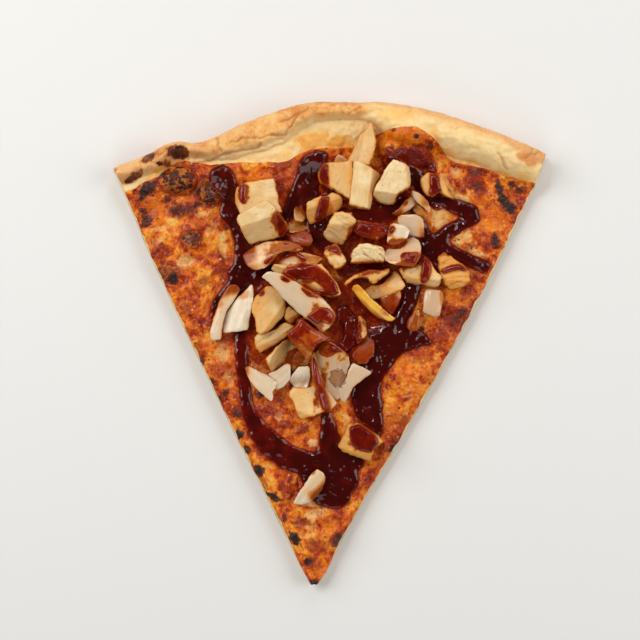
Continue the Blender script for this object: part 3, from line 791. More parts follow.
class Shader:
    """The node tree of one material."""

    def __init__(self, name):
        self.material = bpy.data.materials.new(name)
        self.material.use_nodes = True
        self.tree = self.material.node_tree
        self.tree.nodes.clear()
        self.place = self.node("ShaderNodeTexCoord", {}, {}, "Object")

    def node(self, kind, settings, sockets, output=0):
        """Adds a node: its settings first, then the values or links of its sockets."""
        made = self.tree.nodes.new(kind)
        for key, value in settings.items():
            if key == "stops":
                ramp = made.color_ramp
                while len(ramp.elements) < len(value):
                    ramp.elements.new(1)
                for element, (at, colour) in zip(ramp.elements, value):
                    element.position = at
                    element.color = (*colour, 1)
            else:
                setattr(made, key, value)
        for key, value in sockets.items():
            if isinstance(value, Value):
                self.tree.links.new(value.socket, made.inputs[key])
            elif made.inputs[key].type == "RGBA":
                made.inputs[key].default_value = (*value[:3], 1)
            else:
                made.inputs[key].default_value = value
        return Value(self, made.outputs[output])

    def attribute(self, name, output="Fac"):
        """Values that a piece stores under a name."""
        return self.node("ShaderNodeAttribute", {"attribute_name": name}, {}, output)

    def attributes(self, *names):
        """Several stored values at once."""
        return [self.attribute(name) for name in names]

    def noise(self, size, detail, rough, seed, at=None, twist=0.0):
        """Noise with features of a size in millimetres."""
        return self.node("ShaderNodeTexNoise", {"noise_dimensions": "4D"},
                         {"Vector": at or self.place, "W": seed, "Scale": 1000 / size,
                          "Detail": detail, "Roughness": rough, "Distortion": twist})

    def cells(self, size, seed):
        """Distance from the middle of cells of a size in millimetres."""
        return self.node("ShaderNodeTexVoronoi", {"voronoi_dimensions": "4D", "feature": "F1"},
                         {"Vector": self.place, "W": seed, "Scale": 1000 / size}, "Distance")

    def stretch(self, vector, scale):
        """A place scaled along each axis."""
        return self.node("ShaderNodeVectorMath", {"operation": "MULTIPLY"}, {0: vector, 1: scale})

    def ramp(self, value, stops):
        """Colours by value."""
        return self.node("ShaderNodeValToRGB", {"stops": stops}, {"Fac": value}, "Color")

    def mix(self, low, high, share):
        """One colour going over into another."""
        return self.node("ShaderNodeMix", {"data_type": "RGBA"}, {0: share, 6: low, 7: high}, 2)

    def coats(self, colour, *coats):
        """A colour with others laid over it in turn, each with its share."""
        for tint, share in coats:
            colour = self.mix(colour, tint, share)
        return colour

    def bump(self, height, distance, strength):
        """A normal from a height, with a distance in millimetres."""
        sockets = {"Height": height, "Distance": distance * MM, "Strength": strength}
        return self.node("ShaderNodeBump", {}, sockets, "Normal")

    def finish(self, colour, roughness, normal=None, specular=.5, flesh=(), coat=()):
        """Ends in a Principled shader. The flesh is the weight, radius and scale of the light that
        goes in, and the coat is the weight and roughness of a wet layer."""
        sockets = {"Base Color": colour, "Roughness": roughness, "Specular IOR Level": specular}
        if normal:
            sockets["Normal"] = normal
        sockets.update(zip(("Subsurface Weight", "Subsurface Radius", "Subsurface Scale"), flesh))
        sockets.update(zip(("Coat Weight", "Coat Roughness"), coat))
        shader = self.node("ShaderNodeBsdfPrincipled", {}, sockets)
        out = self.tree.nodes.new("ShaderNodeOutputMaterial")
        self.tree.links.new(shader.socket, out.inputs["Surface"])
        return self.material


def bread_material(tones):
    """Baked dough: pale inside the fold, tan outside, scorched spots, pale crumb at the cuts."""
    s = Shader("Baked bread")
    broad = s.noise(16, 3, .5, 1.0)
    mottle = s.noise(4.5, 4, .6, 2.0)
    fine = s.noise(1.3, 4, .62, 3.0)
    speck = s.noise(.55, 2, .5, 4.0)
    tan, gold, oil, char, side, crack, under = s.attributes(
        "tan", "gold", "oil", "char", "side", "crack", "under")
    uneven = (mottle - .5) * .7 + (fine - .5) * .35
    baked = tan * (broad * .5 + mottle * .8 + fine * .3)
    greasy = oil + uneven * .9
    scorched = char + (mottle - .5) * .6 + (fine - .5) * .8
    colour = s.coats(
        tones.dough,
        (tones.dough_warm, (broad * .7 + mottle * .5).above(.64, .2)),
        (tones.tan, (tan + uneven).above(.5, .42)),
        (tones.gold, (gold * .9 + uneven).above(.55, .36) * .9),
        (tones.gold, baked.above(.80, .10) * .85),
        (tones.brown, (baked + (fine - .5) * .4).above(.93, .08) * .75),
        (tones.dough, (1 - baked).above(.30, .10) * tan * .4),
        (tones.grease, greasy.above(.5, .5) * .8),
        (tones.amber, greasy.above(1.02, .3) * .75),
        (tones.crumb, side * .95),
        (tones.underside, under * .9),
        (tones.crust_gold, (char + uneven).above(.30, .22) * .9),
        (tones.scorch, scorched.above(.52, .16) * .95),
        (tones.char, scorched.above(.84, .12) * .97),
        (tones.brown, crack * .9),
        (tones.flour, speck.above(.62, .05) * (1 - char) * .22))
    pores = s.cells(1.5, 2.0)
    height = mottle * .7 + fine * .3 + speck * .04 + pores.above(.32, .2) * side * .9
    return s.finish(colour, .62 - oil * .25 - gold * .08, s.bump(height, .8, .8), .25,
                    flesh=(.08, (1.0, .5, .25), .0015))


def cheese_material(tones):
    """Melted, browned cheese: orange with cream patches, red-brown crust and scorched spots."""
    s = Shader("Melted cheese")
    broad = s.noise(15, 2, .5, 11.0, twist=.4)
    patch = s.noise(6.5, 3, .55, 12.0, twist=.8)
    mid = s.noise(3.0, 3, .6, 13.0, twist=.5)
    fine = s.noise(1.2, 3, .6, 14.0)
    red, pale, oil, char, rise, crust, side, wet = s.attributes(
        "red", "pale", "oil", "char", "rise", "crust", "side", "wet")
    level = broad * .26 + patch * .42 + mid * .32 + rise * .02
    two_toned, flecked = patch + mid, mid * .6 + fine * .4
    creamy = (pale * 1.05 + (patch - .5) * 1.1 + (mid - .5) * .7).above(.55, .38)
    oily = (oil + (patch - .5) * .7 + (mid - .5) * .4).above(.52, .36)
    reddish = (red + (patch - .5) * 1.0 + (mid - .5) * 1.3).above(.55, .26)
    grains = s.cells(2.1, 3.0) + (fine - .5) * .5
    crumbly = (red * .7 + (patch - .5) * 1.2 + (mid - .5) * .8 - pale * .6).above(.22, .22)
    gleam = s.cells(2.7, 5.0) + (fine - .5) * .4
    specks = (1 - (s.cells(4.2, 6.0) + (fine - .5) * .2).above(.12, .04)) * (1 - pale * .5)
    soaked = wet + (patch - .5) * .5 + (mid - .5) * .3
    crusty = (crust + (mid - .5) * .4).above(.48, .16)
    split = s.noise(3.4, 3, .6, 15.0, twist=1.2)
    burnt = char + (mid - .5) * .9 + (fine - .5) * 1.1
    colour = s.coats(
        s.ramp(level, [(.40, tones.rust), (.45, tones.brick), (.488, tones.orange),
                       (.535, tones.amber), (.595, tones.yellow), (.67, tones.cheese_cream)]),
        (s.mix(tones.yellow, tones.cheese_cream, two_toned.above(.94, .2)), creamy * .9),
        (s.mix(tones.orange, tones.amber, two_toned.above(.98, .16)), oily * .93),
        (s.mix(tones.rust, tones.brick, flecked.above(.49, .1)), reddish * .93),
        (tones.rust, (1 - grains.above(.24, .1)) * crumbly * .85),
        (tones.yellow, (1 - gleam.above(.22, .12)) * (1 - reddish * .7) * .6),
        (tones.cheese_cream, (1 - gleam.above(.13, .06)) * (1 - reddish * .5) * .6),
        (tones.scorch, specks * .85),
        (tones.sauce_edge, soaked.above(.42, .3) * .92),
        (tones.sauce_mid, soaked.above(.86, .16) * .92),
        (s.mix(tones.crust_brown, tones.crust_gold, flecked.above(.475, .07)), crusty * .95),
        (tones.scorch, split.above(.50, .05) * crust.above(.55, .2) * .9),
        (tones.char, split.above(.535, .035) * crust.above(.6, .2) * .95),
        (tones.rust, burnt.above(.26, .16) * .9),
        (tones.scorch, burnt.above(.5, .18) * .95),
        (tones.char, burnt.above(.84, .16) * .97),
        (tones.crumb, side * .5))
    height = patch * .4 + mid * .7 + fine * .06
    return s.finish(colour, .17 + burnt.above(.5, .2) * .25, s.bump(height, 2.3, .95), .27,
                    flesh=(.06, (1.0, .25, .05), .0012))


def chicken_material(tones):
    """Diced cooked chicken: cream with a fine grain, golden at its edges, stained by sauce."""
    s = Shader("Cooked chicken")
    grain_at = s.attribute("grain", "Vector")
    fibre = s.noise(1.5, 3, .6, 21.0, s.stretch(grain_at, (.16, 1, 1)))
    hair = s.noise(.6, 2, .5, 22.0, s.stretch(grain_at, (.12, 1, 1)))
    mottle = s.noise(4.2, 3, .55, 23.0)
    fine = s.noise(1.1, 3, .6, 24.0)
    gold, stain, edge, torn, side = s.attributes("gold", "stain", "edge", "torn", "side")
    pale = (mottle * .6 + fibre * .5 - gold * .45).above(.43, .16)
    golden = (gold * .9 + edge * .5 + (mottle - .5) * .8 + (fine - .5) * .3).above(.63, .28)
    browned = (gold * .6 + edge * .7 + (mottle - .5) * .9 + (fine - .5) * .6).above(1.02, .16)
    pores = (1 - s.cells(2.0, 7.0).above(.16, .05)) * .5
    soaked = stain + (mottle - .5) * .35 + (fine - .5) * .35
    colour = s.coats(
        tones.meat,
        (tones.meat_pale, pale),
        (tones.meat_tan, side * .8),
        (tones.meat_gold, golden * .92),
        (tones.meat_brown, browned * .7),
        (tones.meat_brown, fibre.above(.58, .05) * (.24 + torn * .7)),
        (tones.meat_brown, pores),
        (tones.meat_gold, soaked.above(.24, .18) * .85),
        (tones.onion_brown, soaked.above(.42, .16) * .95),
        (tones.sauce_edge, soaked.above(.68, .16) * .95))
    height = fibre * (.45 + torn * .9) + hair * .04 + fine * .1 - pores * 1.0
    return s.finish(colour, .48 - soaked.above(.4, .2) * .24, s.bump(height, .5, .85), .25,
                    flesh=(.18, (1.0, .55, .25), .002))


def onion_material(tones):
    """Soft cooked onion: cream with fine veins, golden edges, sauce soaked in."""
    s = Shader("Cooked onion")
    grain_at = s.attribute("grain", "Vector")
    vein = s.noise(1.7, 2, .5, 31.0, s.stretch(grain_at, (.05, 1, .4)))
    hair = s.noise(.5, 2, .5, 32.0, s.stretch(grain_at, (.05, 1, .4)))
    mottle = s.noise(5.0, 3, .5, 33.0)
    fine = s.noise(1.2, 3, .6, 34.0)
    pink, stain, edge, gold, burn = s.attributes("pink", "stain", "edge", "gold", "burn")
    golden = (edge * .8 + gold * .5 + (mottle - .5) * .7 + (fine - .5) * .3).above(.86, .2)
    soaked = stain + (mottle - .5) * .45 + (vein - .5) * .35 + (fine - .5) * .2
    burnt = burn + (fine - .5) * .8
    sauced = s.mix(tones.sauce_edge, tones.onion_brown, (mottle + vein).above(1.0, .1) * .7)
    colour = s.coats(
        tones.onion,
        (tones.onion_white, (mottle * .5 + vein * .5).above(.52, .12)),
        (tones.onion_pink, (pink + (mottle - .5) * .6 + (vein - .5) * .4).above(.45, .4) * .9),
        (tones.onion_vein, vein.above(.56, .08) * .2),
        (tones.meat_gold, golden * .75),
        (tones.crust_brown, burnt.above(.42, .1) * .8),
        (tones.burn, burnt.above(.72, .14) * .95),
        (tones.meat_gold, soaked.above(.26, .22) * .85),
        (tones.onion_brown, soaked.above(.52, .2) * .97),
        (sauced, soaked.above(.9, .2) * .97))
    height = vein * .4 + hair * .03 + mottle * 1.2
    return s.finish(colour, .17, s.bump(height, .3, .8), .27, flesh=(.2, (1.0, .8, .6), .0012),
                    coat=((1 - soaked.above(.4, .2)) * .3, .08))


def pepper_material(tones):
    """A soft strip of yellow pepper."""
    s = Shader("Yellow pepper")
    mottle, fine = s.noise(4, 3, .5, 41.0), s.noise(1.0, 3, .6, 42.0)
    stain = s.attribute("stain")
    soaked = stain + (mottle - .5) * .4 + (fine - .5) * .2
    colour = s.coats(tones.pepper,
                     (tones.meat_gold, mottle.above(.54, .14) * .55),
                     (tones.sauce_thin, soaked.above(.5, .22) * .85))
    return s.finish(colour, .24 + fine * .1, s.bump(mottle * .4 + fine * .2, .3, .7),
                    flesh=(.15, (1.0, .5, .1), .002), coat=(.4, .1))


def sauce_material(tones):
    """Thick barbecue sauce: nearly black-red where deep, orange-brown where thin."""
    s = Shader("Barbecue sauce")
    depth = s.attribute("depth")
    swirl, fine = s.noise(7, 2, .5, 51.0), s.noise(.9, 2, .5, 52.0)
    ripple = s.noise(5.5, 2, .45, 54.0)
    coarse, thin = s.noise(5, 3, .55, 53.0, twist=1.5), s.noise(2.0, 3, .5, 55.0)
    streaks = (coarse - .5) * 1.6 + (thin - .5) * .8
    deep = depth + (swirl - .5) * .3 + streaks * (.85 - depth).clamp()
    colour = s.coats(tones.sauce_thin,
                     (tones.sauce_edge, deep.above(.16, .12)),
                     (tones.sauce_mid, deep.above(.42, .18)),
                     (tones.sauce_deep, deep.above(.78, .22)))
    height = swirl * .6 + ripple * .7 + fine * .01
    return s.finish(colour, .07 + fine * .05, s.bump(height, 1.1, .6), .34, coat=(.06, .03))


def speck_material(name, light, dark):
    """Small burnt or browned grains."""
    s = Shader(name)
    colour = s.mix(light, dark, s.noise(1.1, 2, .5, 61.0).above(.5, .14))
    return s.finish(colour, .55, s.bump(s.noise(.5, 2, .5, 62.0), .2, .7))


# ---------------------------------------------------------------- settings

def tone(name, description, rgb):
    """A colour property."""
    return bpy.props.FloatVectorProperty(name=name, description=description, subtype="COLOR",
                                         size=3, min=0, max=1, default=linear(rgb))


def amount(name, description, default, low, high):
    """A plain number property."""
    return bpy.props.FloatProperty(name=name, description=description, default=default, min=low,
                                   max=high)


def power(name, description, default):
    """A light's power."""
    return bpy.props.FloatProperty(name=name, description=description, default=default, min=0,
                                   unit="POWER")


class PizzaTones(bpy.types.PropertyGroup):
    """Colours of the slice."""
    dough: tone("Dough", "Pale dough inside the fold", (238, 208, 150))
    dough_warm: tone("Warm dough", "Slightly baked dough", (236, 198, 132))
    tan: tone("Tan", "Baked outer roll", (228, 162, 82))
    gold: tone("Gold", "Golden edges of the rim", (208, 124, 52))
    brown: tone("Brown", "Browned ridges and cracks of the rim", (160, 88, 40))
    grease: tone("Grease", "Yellow oil soaked into the dough", (240, 178, 70))
    crumb: tone("Crumb", "Crumb at the cut sides", (240, 208, 150))
    underside: tone("Underside", "Baked underside", (176, 116, 58))
    flour: tone("Flour", "Dusting of flour", (244, 230, 200))
    scorch: tone("Scorch", "Dark brown spots", (92, 40, 16))
    char: tone("Char", "Burnt spots", (30, 18, 16))
    rust: tone("Rust", "Red-brown crust of the cheese", (112, 22, 5))
    brick: tone("Brick", "Orange-red cheese", (160, 48, 8))
    orange: tone("Orange", "Orange cheese", (198, 82, 10))
    amber: tone("Amber", "Oily orange-yellow", (226, 122, 16))
    yellow: tone("Yellow", "Yellow cheese", (236, 162, 48))
    cheese_cream: tone("Cheese cream", "Pale patches of the cheese", (232, 190, 124))
    crust_gold: tone("Crust gold", "Golden brown of the blisters", (190, 104, 34))
    crust_brown: tone("Crust brown", "Dark brown of the blisters", (104, 42, 12))
    meat: tone("Meat", "Cut face of the chicken", (218, 178, 116))
    meat_pale: tone("Pale meat", "Palest chicken", (238, 211, 160))
    meat_gold: tone("Golden meat", "Browned edge of the chicken", (226, 150, 56))
    meat_tan: tone("Tan meat", "Sloping faces of the dice", (200, 150, 90))
    meat_brown: tone("Brown meat", "Slits and marks of the chicken", (160, 96, 34))
    burn: tone("Burn", "Browned spots on the onion", (166, 118, 76))
    onion: tone("Onion", "Translucent onion", (214, 190, 154))
    onion_white: tone("White onion", "Palest onion", (240, 228, 204))
    onion_pink: tone("Pink onion", "Pinkish onion", (200, 162, 126))
    onion_vein: tone("Vein", "Veins of the onion", (188, 146, 112))
    onion_brown: tone("Brown onion", "Onion soaked in sauce", (150, 66, 8))
    pepper: tone("Pepper", "Yellow pepper", (240, 180, 50))
    sauce_thin: tone("Thin sauce", "Thinnest sauce", (172, 76, 14))
    sauce_edge: tone("Sauce edge", "Sauce near its edge", (140, 34, 5))
    sauce_mid: tone("Sauce", "Sauce of middling depth", (98, 12, 3))
    sauce_deep: tone("Deep sauce", "Deepest sauce", (60, 4, 2))


class PizzaSizes(bpy.types.PropertyGroup):
    """Sizes of the slice's finer shapes, in millimetres."""
    lumps: amount("Lumps", "Height of the cheese's lumps", .95, 0, 3)
    dice_cell: amount("Dice cell", "Mesh size of the dice", .42, .3, 2)
    slice_cell: amount("Slice cell", "Mesh size of the onion slices", .42, .3, 2)
    sauce_depth: amount("Sauce depth", "Share of the tabled sauce thickness", 1.0, .2, 2)


class PizzaStage(bpy.types.PropertyGroup):
    """Camera, lights and floor."""
    camera_x: amount("Camera X", "Where the camera looks", -.0045, -1, 1)
    camera_y: amount("Camera Y", "Where the camera looks", .0109, -1, 1)
    camera_height: amount("Camera height", "Height over the floor", .7178, .1, 10)
    lens: amount("Lens", "Focal length in millimetres", 85, 10, 300)
    key: power("Key light", "Power of the left light", 10.4)
    fill: power("Fill light", "Power of the right light", 6.6)
    sky: amount("Sky", "Strength of the light from all round", .07, 0, 10)
    floor: tone("Floor", "Colour of the floor", (226, 224, 220))


# ---------------------------------------------------------------- operators

class Maker(bpy.types.Operator):
    """Shared by the operators that make pieces."""
    bl_options = {"REGISTER", "UNDO"}

    def execute(self, context):
        """Makes the pieces with the scene's settings."""
        self.make(context.scene.pizza_tones, context.scene.pizza_sizes)
        return {"FINISHED"}


# Pieces that later steps build on.
SHARED = {"toppings": []}


class PIZZA_OT_bread(Maker):
    """Adds the bread: base, rolled rim, fold, blisters and cut sides"""
    bl_idname = "pizza.bread"
    bl_label = "Bread"
    columns, under_rows, rim_rows, rings = 330, 34, 92, 12

    def make(self, tones, sizes):
        rows = self.under_rows + self.rim_rows
        obj = sheet("bread", self.columns, rows, self.rings)
        at = places(obj)
        u, k, down = at[:, 0], at[:, 1] * rows, -at[:, 2] / self.rings
        split = 1 - RIM_BAND / LENGTH
        v = np.where(k < self.under_rows, k / self.under_rows * split,
                     split + (k - self.under_rows) / self.rim_rows * (1 - split))
        d = (1 - v) * LENGTH
        x, y = outline(u, v)
        z = bread_top(u, d, x, y)
        fold, folded = seam(u), folded_share(u)
        flat = plan(x, y)
        rim = 1 - smooth(20, 26, d)
        dents = rim * (.45 * wobble(flat, 9, 40) + .5 * wobble(flat, 4.6, 41)
                       + .36 * wobble(flat, 2.3, 42) + .10 * wobble(flat, 1.2, 43))
        wrinkles = np.exp(-(wobble(flat, 12, 39) / .05) ** 2)
        dents -= rim * .5 * wrinkles * (1 - smooth(fold, fold + 2, d))
        cracks = crack_depth(x, y, BREAD_CRACKS, .55)
        scorch = paint(flat, BREAD_CHAR, .35, 2.2, 45)
        z += dents - .7 * cracks + scorch * (.5 * wobble(flat, 1.6, 44) - .1)
        # Down the sides: the cut faces lean out, the rim is round and tucks in underneath.
        sliced = np.maximum(smooth(.5, 1, np.abs(2 * u - 1) ** 60), (v < .0005) * 1.0)
        back = (v > .9995) * 1.0
        side_z = z * (1 - down)
        rim_out = .8 * np.sin(np.pi * np.clip(down * 1.25, 0, 1)) - EDGE_TUCK * smooth(.55, 1, down)
        rim_z = z * (1 - down ** 1.15)
        z = np.where(back > 0, rim_z, side_z)
        y = y + back * rim_out * smooth(0, .02, u) * smooth(0, .02, 1 - u)
        x = x - lean_in(SIDE_SLOPE, u, v) * (1 - down)
        rough = np.column_stack([x, y, z])
        nub = .35 * wobble(rough, 2.6, 46) + .22 * wobble(rough, 1.1, 47)
        nub = (down > 0) * (down < 1) * nub
        x = x + nub * np.sign(u - .5) * sliced * np.minimum(1, (v * LENGTH) / 8)
        y = y + nub * back * .6
        z = np.clip(z, 0, None)
        move_to(obj, np.column_stack([x, y, z]))
        outer = np.maximum(folded * (1 - smooth(fold * .75, fold * 1.05, d)) * .9,
                           (1 - folded) * (1 - smooth(1.5, 5.5, d)) * .75)
        mark(obj, tan=np.maximum(outer, back * smooth(.05, .3, down)),
             gold=np.maximum(paint(flat, BREAD_GOLD, .25, 5, 48), back * .4 * (1 - down)),
             oil=paint(flat, BREAD_OIL, .3, 3.5, 49) * (down < .1),
             char=scorch * (1 - down),
             crack=cracks * (down == 0) * .6,
             side=(down > .04) * (1 - back) * (1 - .75 * smooth(.8, 1, down)),
             under=(down >= .98) * 1.0)
        put_on(obj, ["crust"], bread_material(tones))


def cheese_height(u, v, x, y, t):
    """Height of the cheese's upper face before the fine lumps."""
    flat = plan(x, y)
    edge = smooth(0, .05, u) * smooth(0, .05, 1 - u)
    lumps = .75 * wobble(flat, 11, 61) + .45 * wobble(flat, 5, 62)
    thick = (CHEESE_T + lumps) * (.55 + .45 * edge) * (1 - .78 * smooth(.93, 1, t))
    return bread_top(u, (1 - v) * LENGTH, x, y) + .3 + thick + domes(x, y, SWELLS)


class PIZZA_OT_cheese(Maker):
    """Adds the melted cheese, a layer that runs through to both cut sides"""
    bl_idname = "pizza.cheese"
    bl_label = "Cheese"
    columns, rows, rings = 270, 330, 3

    def make(self, tones, sizes):
        obj = sheet("melted_cheese", self.columns, self.rows, self.rings)
        at = places(obj)
        u, t, down = at[:, 0], at[:, 1], -at[:, 2] / self.rings
        t = t ** .9
        v = (1 - cheese_edge(u) / LENGTH) * t
        x, y = outline(u, v)
        flat = plan(x, y)
        z = cheese_height(u, v, x, y, t)
        char = paint(flat, CHEESE_CHAR, .34, 2.0, 71)
        red = paint(flat, CHEESE_RED, .30, 3.2, 72)
        pale = paint(flat, CHEESE_PALE, .30, 3.4, 73)
        oil = paint(flat, CHEESE_OIL, .28, 4.0, 74)
        near = np.minimum(1, 6 * np.minimum(np.minimum(u, 1 - u) * 30, (1 - t) * 12 + .05))
        puffs = .9 - 1.9 * np.abs(wobble(flat, 5.2, 63)) + .5 * wobble(flat, 2.6, 64)
        puffs -= .55 * np.abs(wobble(flat, 1.8, 65))
        fine = sizes.lumps * (puffs * (.65 + .45 * red) + .22 * wobble(flat, 1.3, 66))
        fine = fine * (1 - .4 * oil)
        z = z + near * fine + red * .4 + char * (.5 * wobble(flat, 1.5, 67) + .35) - pale * .15
        x = x - lean_in(1.25, u, v) * (1 - .3 * down)
        x = x + lean_in(.6, u, v) * (wobble(flat, 7, 68) + .5 * wobble(flat, 2.6, 70))
        y = y + (.4 + .3 * wobble(flat, 2.2, 69)) * (t < .001)
        low = np.where(down < .34, BASE_T + .35, BASE_T - .6)
        tuck = smooth(.3, .9, down) * 1.2
        z = np.where(down > 0, np.where(down < .34, z - .75 * (z - low), low), z)
        x = x - lean_in(1.0, u, v) * tuck
        y = y - tuck * (t > .999) + tuck * (t < .001)
        move_to(obj, np.column_stack([x, y, z]))
        crust = np.zeros(len(x))
        for cx, cy, a, b, share in CRUSTS:
            d = np.hypot((x - cx) / a, (y - cy) / b)
            d = d + .16 * wobble(flat, 4, 78) + .12 * wobble(flat, 1.8, 77)
            crust = np.maximum(crust, share * (1 - smooth(.86, 1.06, d)))
            red = np.maximum(red, share * np.exp(-((d - 1.12) / .13) ** 2))
        soaked = look_up(blur(strokes(LOW_SAUCE)[0], 1.6), x, y)
        mark(obj, red=red, pale=pale, oil=oil, char=char, crust=crust, rise=np.clip(fine, -2, 2),
             side=(down > 0) * 1.0,
             wet=np.maximum(soaked * .8, paint(flat, CHEESE_WET, .3, 3.6, 76)))
        SHARED["cheese"] = put_on(obj, ["cheese"], cheese_material(tones))


@cache
def wetness():
    """Grids of how near the low and the high sauce is, without the thin low film."""
    return blur(strokes(LOW_SAUCE[:-2])[0], 1.0), blur(strokes(HIGH_SAUCE)[0], .9)


def sides(edge):
    """Each side of a closed plan outline as a pair of corners."""
    return zip(edge, edge[1:] + edge[:1])


def within(x, y, edge):
    """Which points lie inside a closed plan outline."""
    found = np.zeros(np.shape(x), bool)
    for (ax, ay), (bx, by) in sides(edge):
        found ^= ((ay > y) != (by > y)) & (x < (bx - ax) * (y - ay) / (by - ay + 1e-9) + ax)
    return found


def from_edge(x, y, edge):
    """Distance of points from a closed plan outline."""
    nearest = np.full(np.shape(x), 99.0)
    for start, end in sides(edge):
        nearest = np.minimum(nearest, to_line(x, y, start, end)[0])
    return nearest


def eased(edge, share, steps):
    """A plan outline with its corners cut off."""
    for _ in range(steps):
        edge = [(p[0] + t * (q[0] - p[0]), p[1] + t * (q[1] - p[1]))
                for p, q in sides(edge) for t in (share, 1 - share)]
    return edge


def beyond(x, y, slopes):
    """How far points lie past the line where each slope starts, and how steep it is."""
    return [((x - sx) * math.cos(math.radians(way)) + (y - sy) * math.sin(math.radians(way)),
             math.tan(math.radians(steep))) for sx, sy, way, steep in slopes]


def node_top(node, order):
    """Smooth upper surface of a node, as weights of 1, x, y, x2, xy and y2 around its middle, with
    its lowest and highest points."""
    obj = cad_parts[node]
    tree, co = tree_of(obj), places(obj, 1000)
    low, high = co.min(axis=0), co.max(axis=0)
    hits = []
    for x in np.arange(low[0], high[0], .8):
        for y in np.arange(low[1], high[1], .8):
            at, normal = drop(tree, x, y)
            if at is not None and abs(normal.z) > .3:
                hits.append((x, y, at.z * 1000, abs(normal.z)))
    hits = np.array(hits)
    if order == 3 and (hits[:, 3] > .86).sum() > 20:
        hits = hits[hits[:, 3] > .86]
    middle = hits[:, :2].mean(axis=0)
    for _ in range(4):
        terms = top_terms(hits[:, 0] - middle[0], hits[:, 1] - middle[1])[:, :order]
        weights = np.linalg.lstsq(terms, hits[:, 2], rcond=None)[0]
        miss = hits[:, 2] - terms @ weights
        keep = miss > -max(.5, 1.3 * miss.std())
        if keep.sum() < 12:
            break
        hits = hits[keep]
    weights[3:] *= .4
    return middle, weights, low[2], high[2]


def top_terms(x, y):
    """The terms that node_top weighs."""
    return np.column_stack([np.ones(len(x)), x, y, x * x, x * y, y * y])


def is_dice(piece):
    """Whether a topping of the table is a die, which has slopes where a slice has its thickness."""
    return isinstance(piece[5], list)


@cache
def stacked():
    """Upper surface of each topping on a patch of the grid, each lying on those below it: the
    patch's first column and row, its heights and the node's lowest point."""
    gx, gy = grid_points()
    every = np.zeros((NY, NX), bool)
    spans = {}
    for name, piece in TOPPINGS.items():
        spans[name] = window(*zip(*piece[4]), PATCH_MARGIN)
        every[spans[name]] = True
    ground = height_under([SHARED["cheese"]], every)
    stack = {}
    for name, piece in TOPPINGS.items():
        span, edge = spans[name], piece[4]
        x, y = gx[span], gy[span]
        middle, weights, low, high = node_top(name, 3 if is_dice(piece) else 6)
        top = top_terms(x.ravel() - middle[0], y.ravel() - middle[1])[:, :len(weights)] @ weights
        top = np.clip(top, low + .6, high + .5).reshape(x.shape)
        inner = within(x, y, edge)
        under = ground[span]
        if is_dice(piece):
            for s, steep in beyond(x, y, piece[5]):
                top = top - np.maximum(0, s) * steep
            deep = inner & (from_edge(x, y, edge) > 1.5)
            over = np.percentile((under + .7 - top)[deep], 80) if deep.any() else 0
            top = top + np.clip(over, 0, 3)
        else:
            top = blur(np.clip(under + .5 * piece[5], top, top + 2.5), .6, 2)
        ground[span] = np.where(inner, np.maximum(under, top), under)
        stack[name] = (span[1].start, span[0].start, top, low)
    return stack


def remeshed(rough, name, cell):
    """An even fine mesh in place of a rough closed one."""
    remesh = rough.modifiers.new("Remesh", "REMESH")
    remesh.mode = "VOXEL"
    remesh.voxel_size = cell * MM
    rough.update_tag()
    graph = bpy.context.evaluated_depsgraph_get()
    mesh = bpy.data.meshes.new_from_object(rough.evaluated_get(graph))
    old = rough.data
    bpy.data.objects.remove(rough)
    bpy.data.meshes.remove(old)
    mesh.name = name
    obj = bpy.data.objects.new(name, mesh)
    bpy.context.scene.collection.objects.link(obj)
    return obj


def cut(node, name, cell, corner):
    """A finely meshed piece over a topping's outline: returns it with its points in millimetres,
    their share of the way up, the top above each, and the plan outline."""
    piece = TOPPINGS[node]
    i0, j0, field, low = stacked()[node]
    thick, uneven = (DICE_T, .28) if is_dice(piece) else (piece[5], .2)
    edge = eased(piece[4], *corner)
    bm = bmesh.new()
    bm.faces.new([bm.verts.new((x * MM, y * MM, 0)) for x, y in edge])
    thicken(bm, (0, 0, thick * MM))
    obj = remeshed(finished(name + "_rough", bm), name, cell)
    pairs = np.empty(len(obj.data.edges) * 2, np.int32)
    obj.data.edges.foreach_get("vertices", pairs)
    at = relax(places(obj, 1000), pairs.reshape(-1, 2), 1)
    up = np.clip((at[:, 2] - at[:, 2].min()) / np.ptp(at[:, 2]), 0, 1)
    flat = np.column_stack([at[:, 0], at[:, 1], np.full(len(at), low)])
    for axis, seed in ((0, 85), (1, 87)):
        at[:, axis] += uneven * wobble(flat, 2.2, seed) + .12 * wobble(flat, .9, seed + 1)
    top = blended(field, (at[:, 0] - GRID_X) / CELL - i0, (at[:, 1] - GRID_Y) / CELL - j0)
    return obj, at, up, top, edge


def local(points, turn):
    """Positions along and across a piece's grain."""
    c, s = math.cos(math.radians(turn)), math.sin(math.radians(turn))
    x, y = points[:, 0], points[:, 1]
    return np.column_stack([x * c + y * s, y * c - x * s, points[:, 2]])


def soaked(points, base):
    """Stain of a topping's points: from the sauce round its foot, over it, and soaked in."""
    low, high = wetness()
    x, y, z = points.T
    foot = 1 - smooth(1.5, 5.5, z - z.min())
    stain = np.maximum(look_up(low, x, y) * foot * .95, look_up(high, x, y) * .9)
    return np.maximum(stain, paint(points, STAINS, .3, 3, 75)) * .9 + base * .45


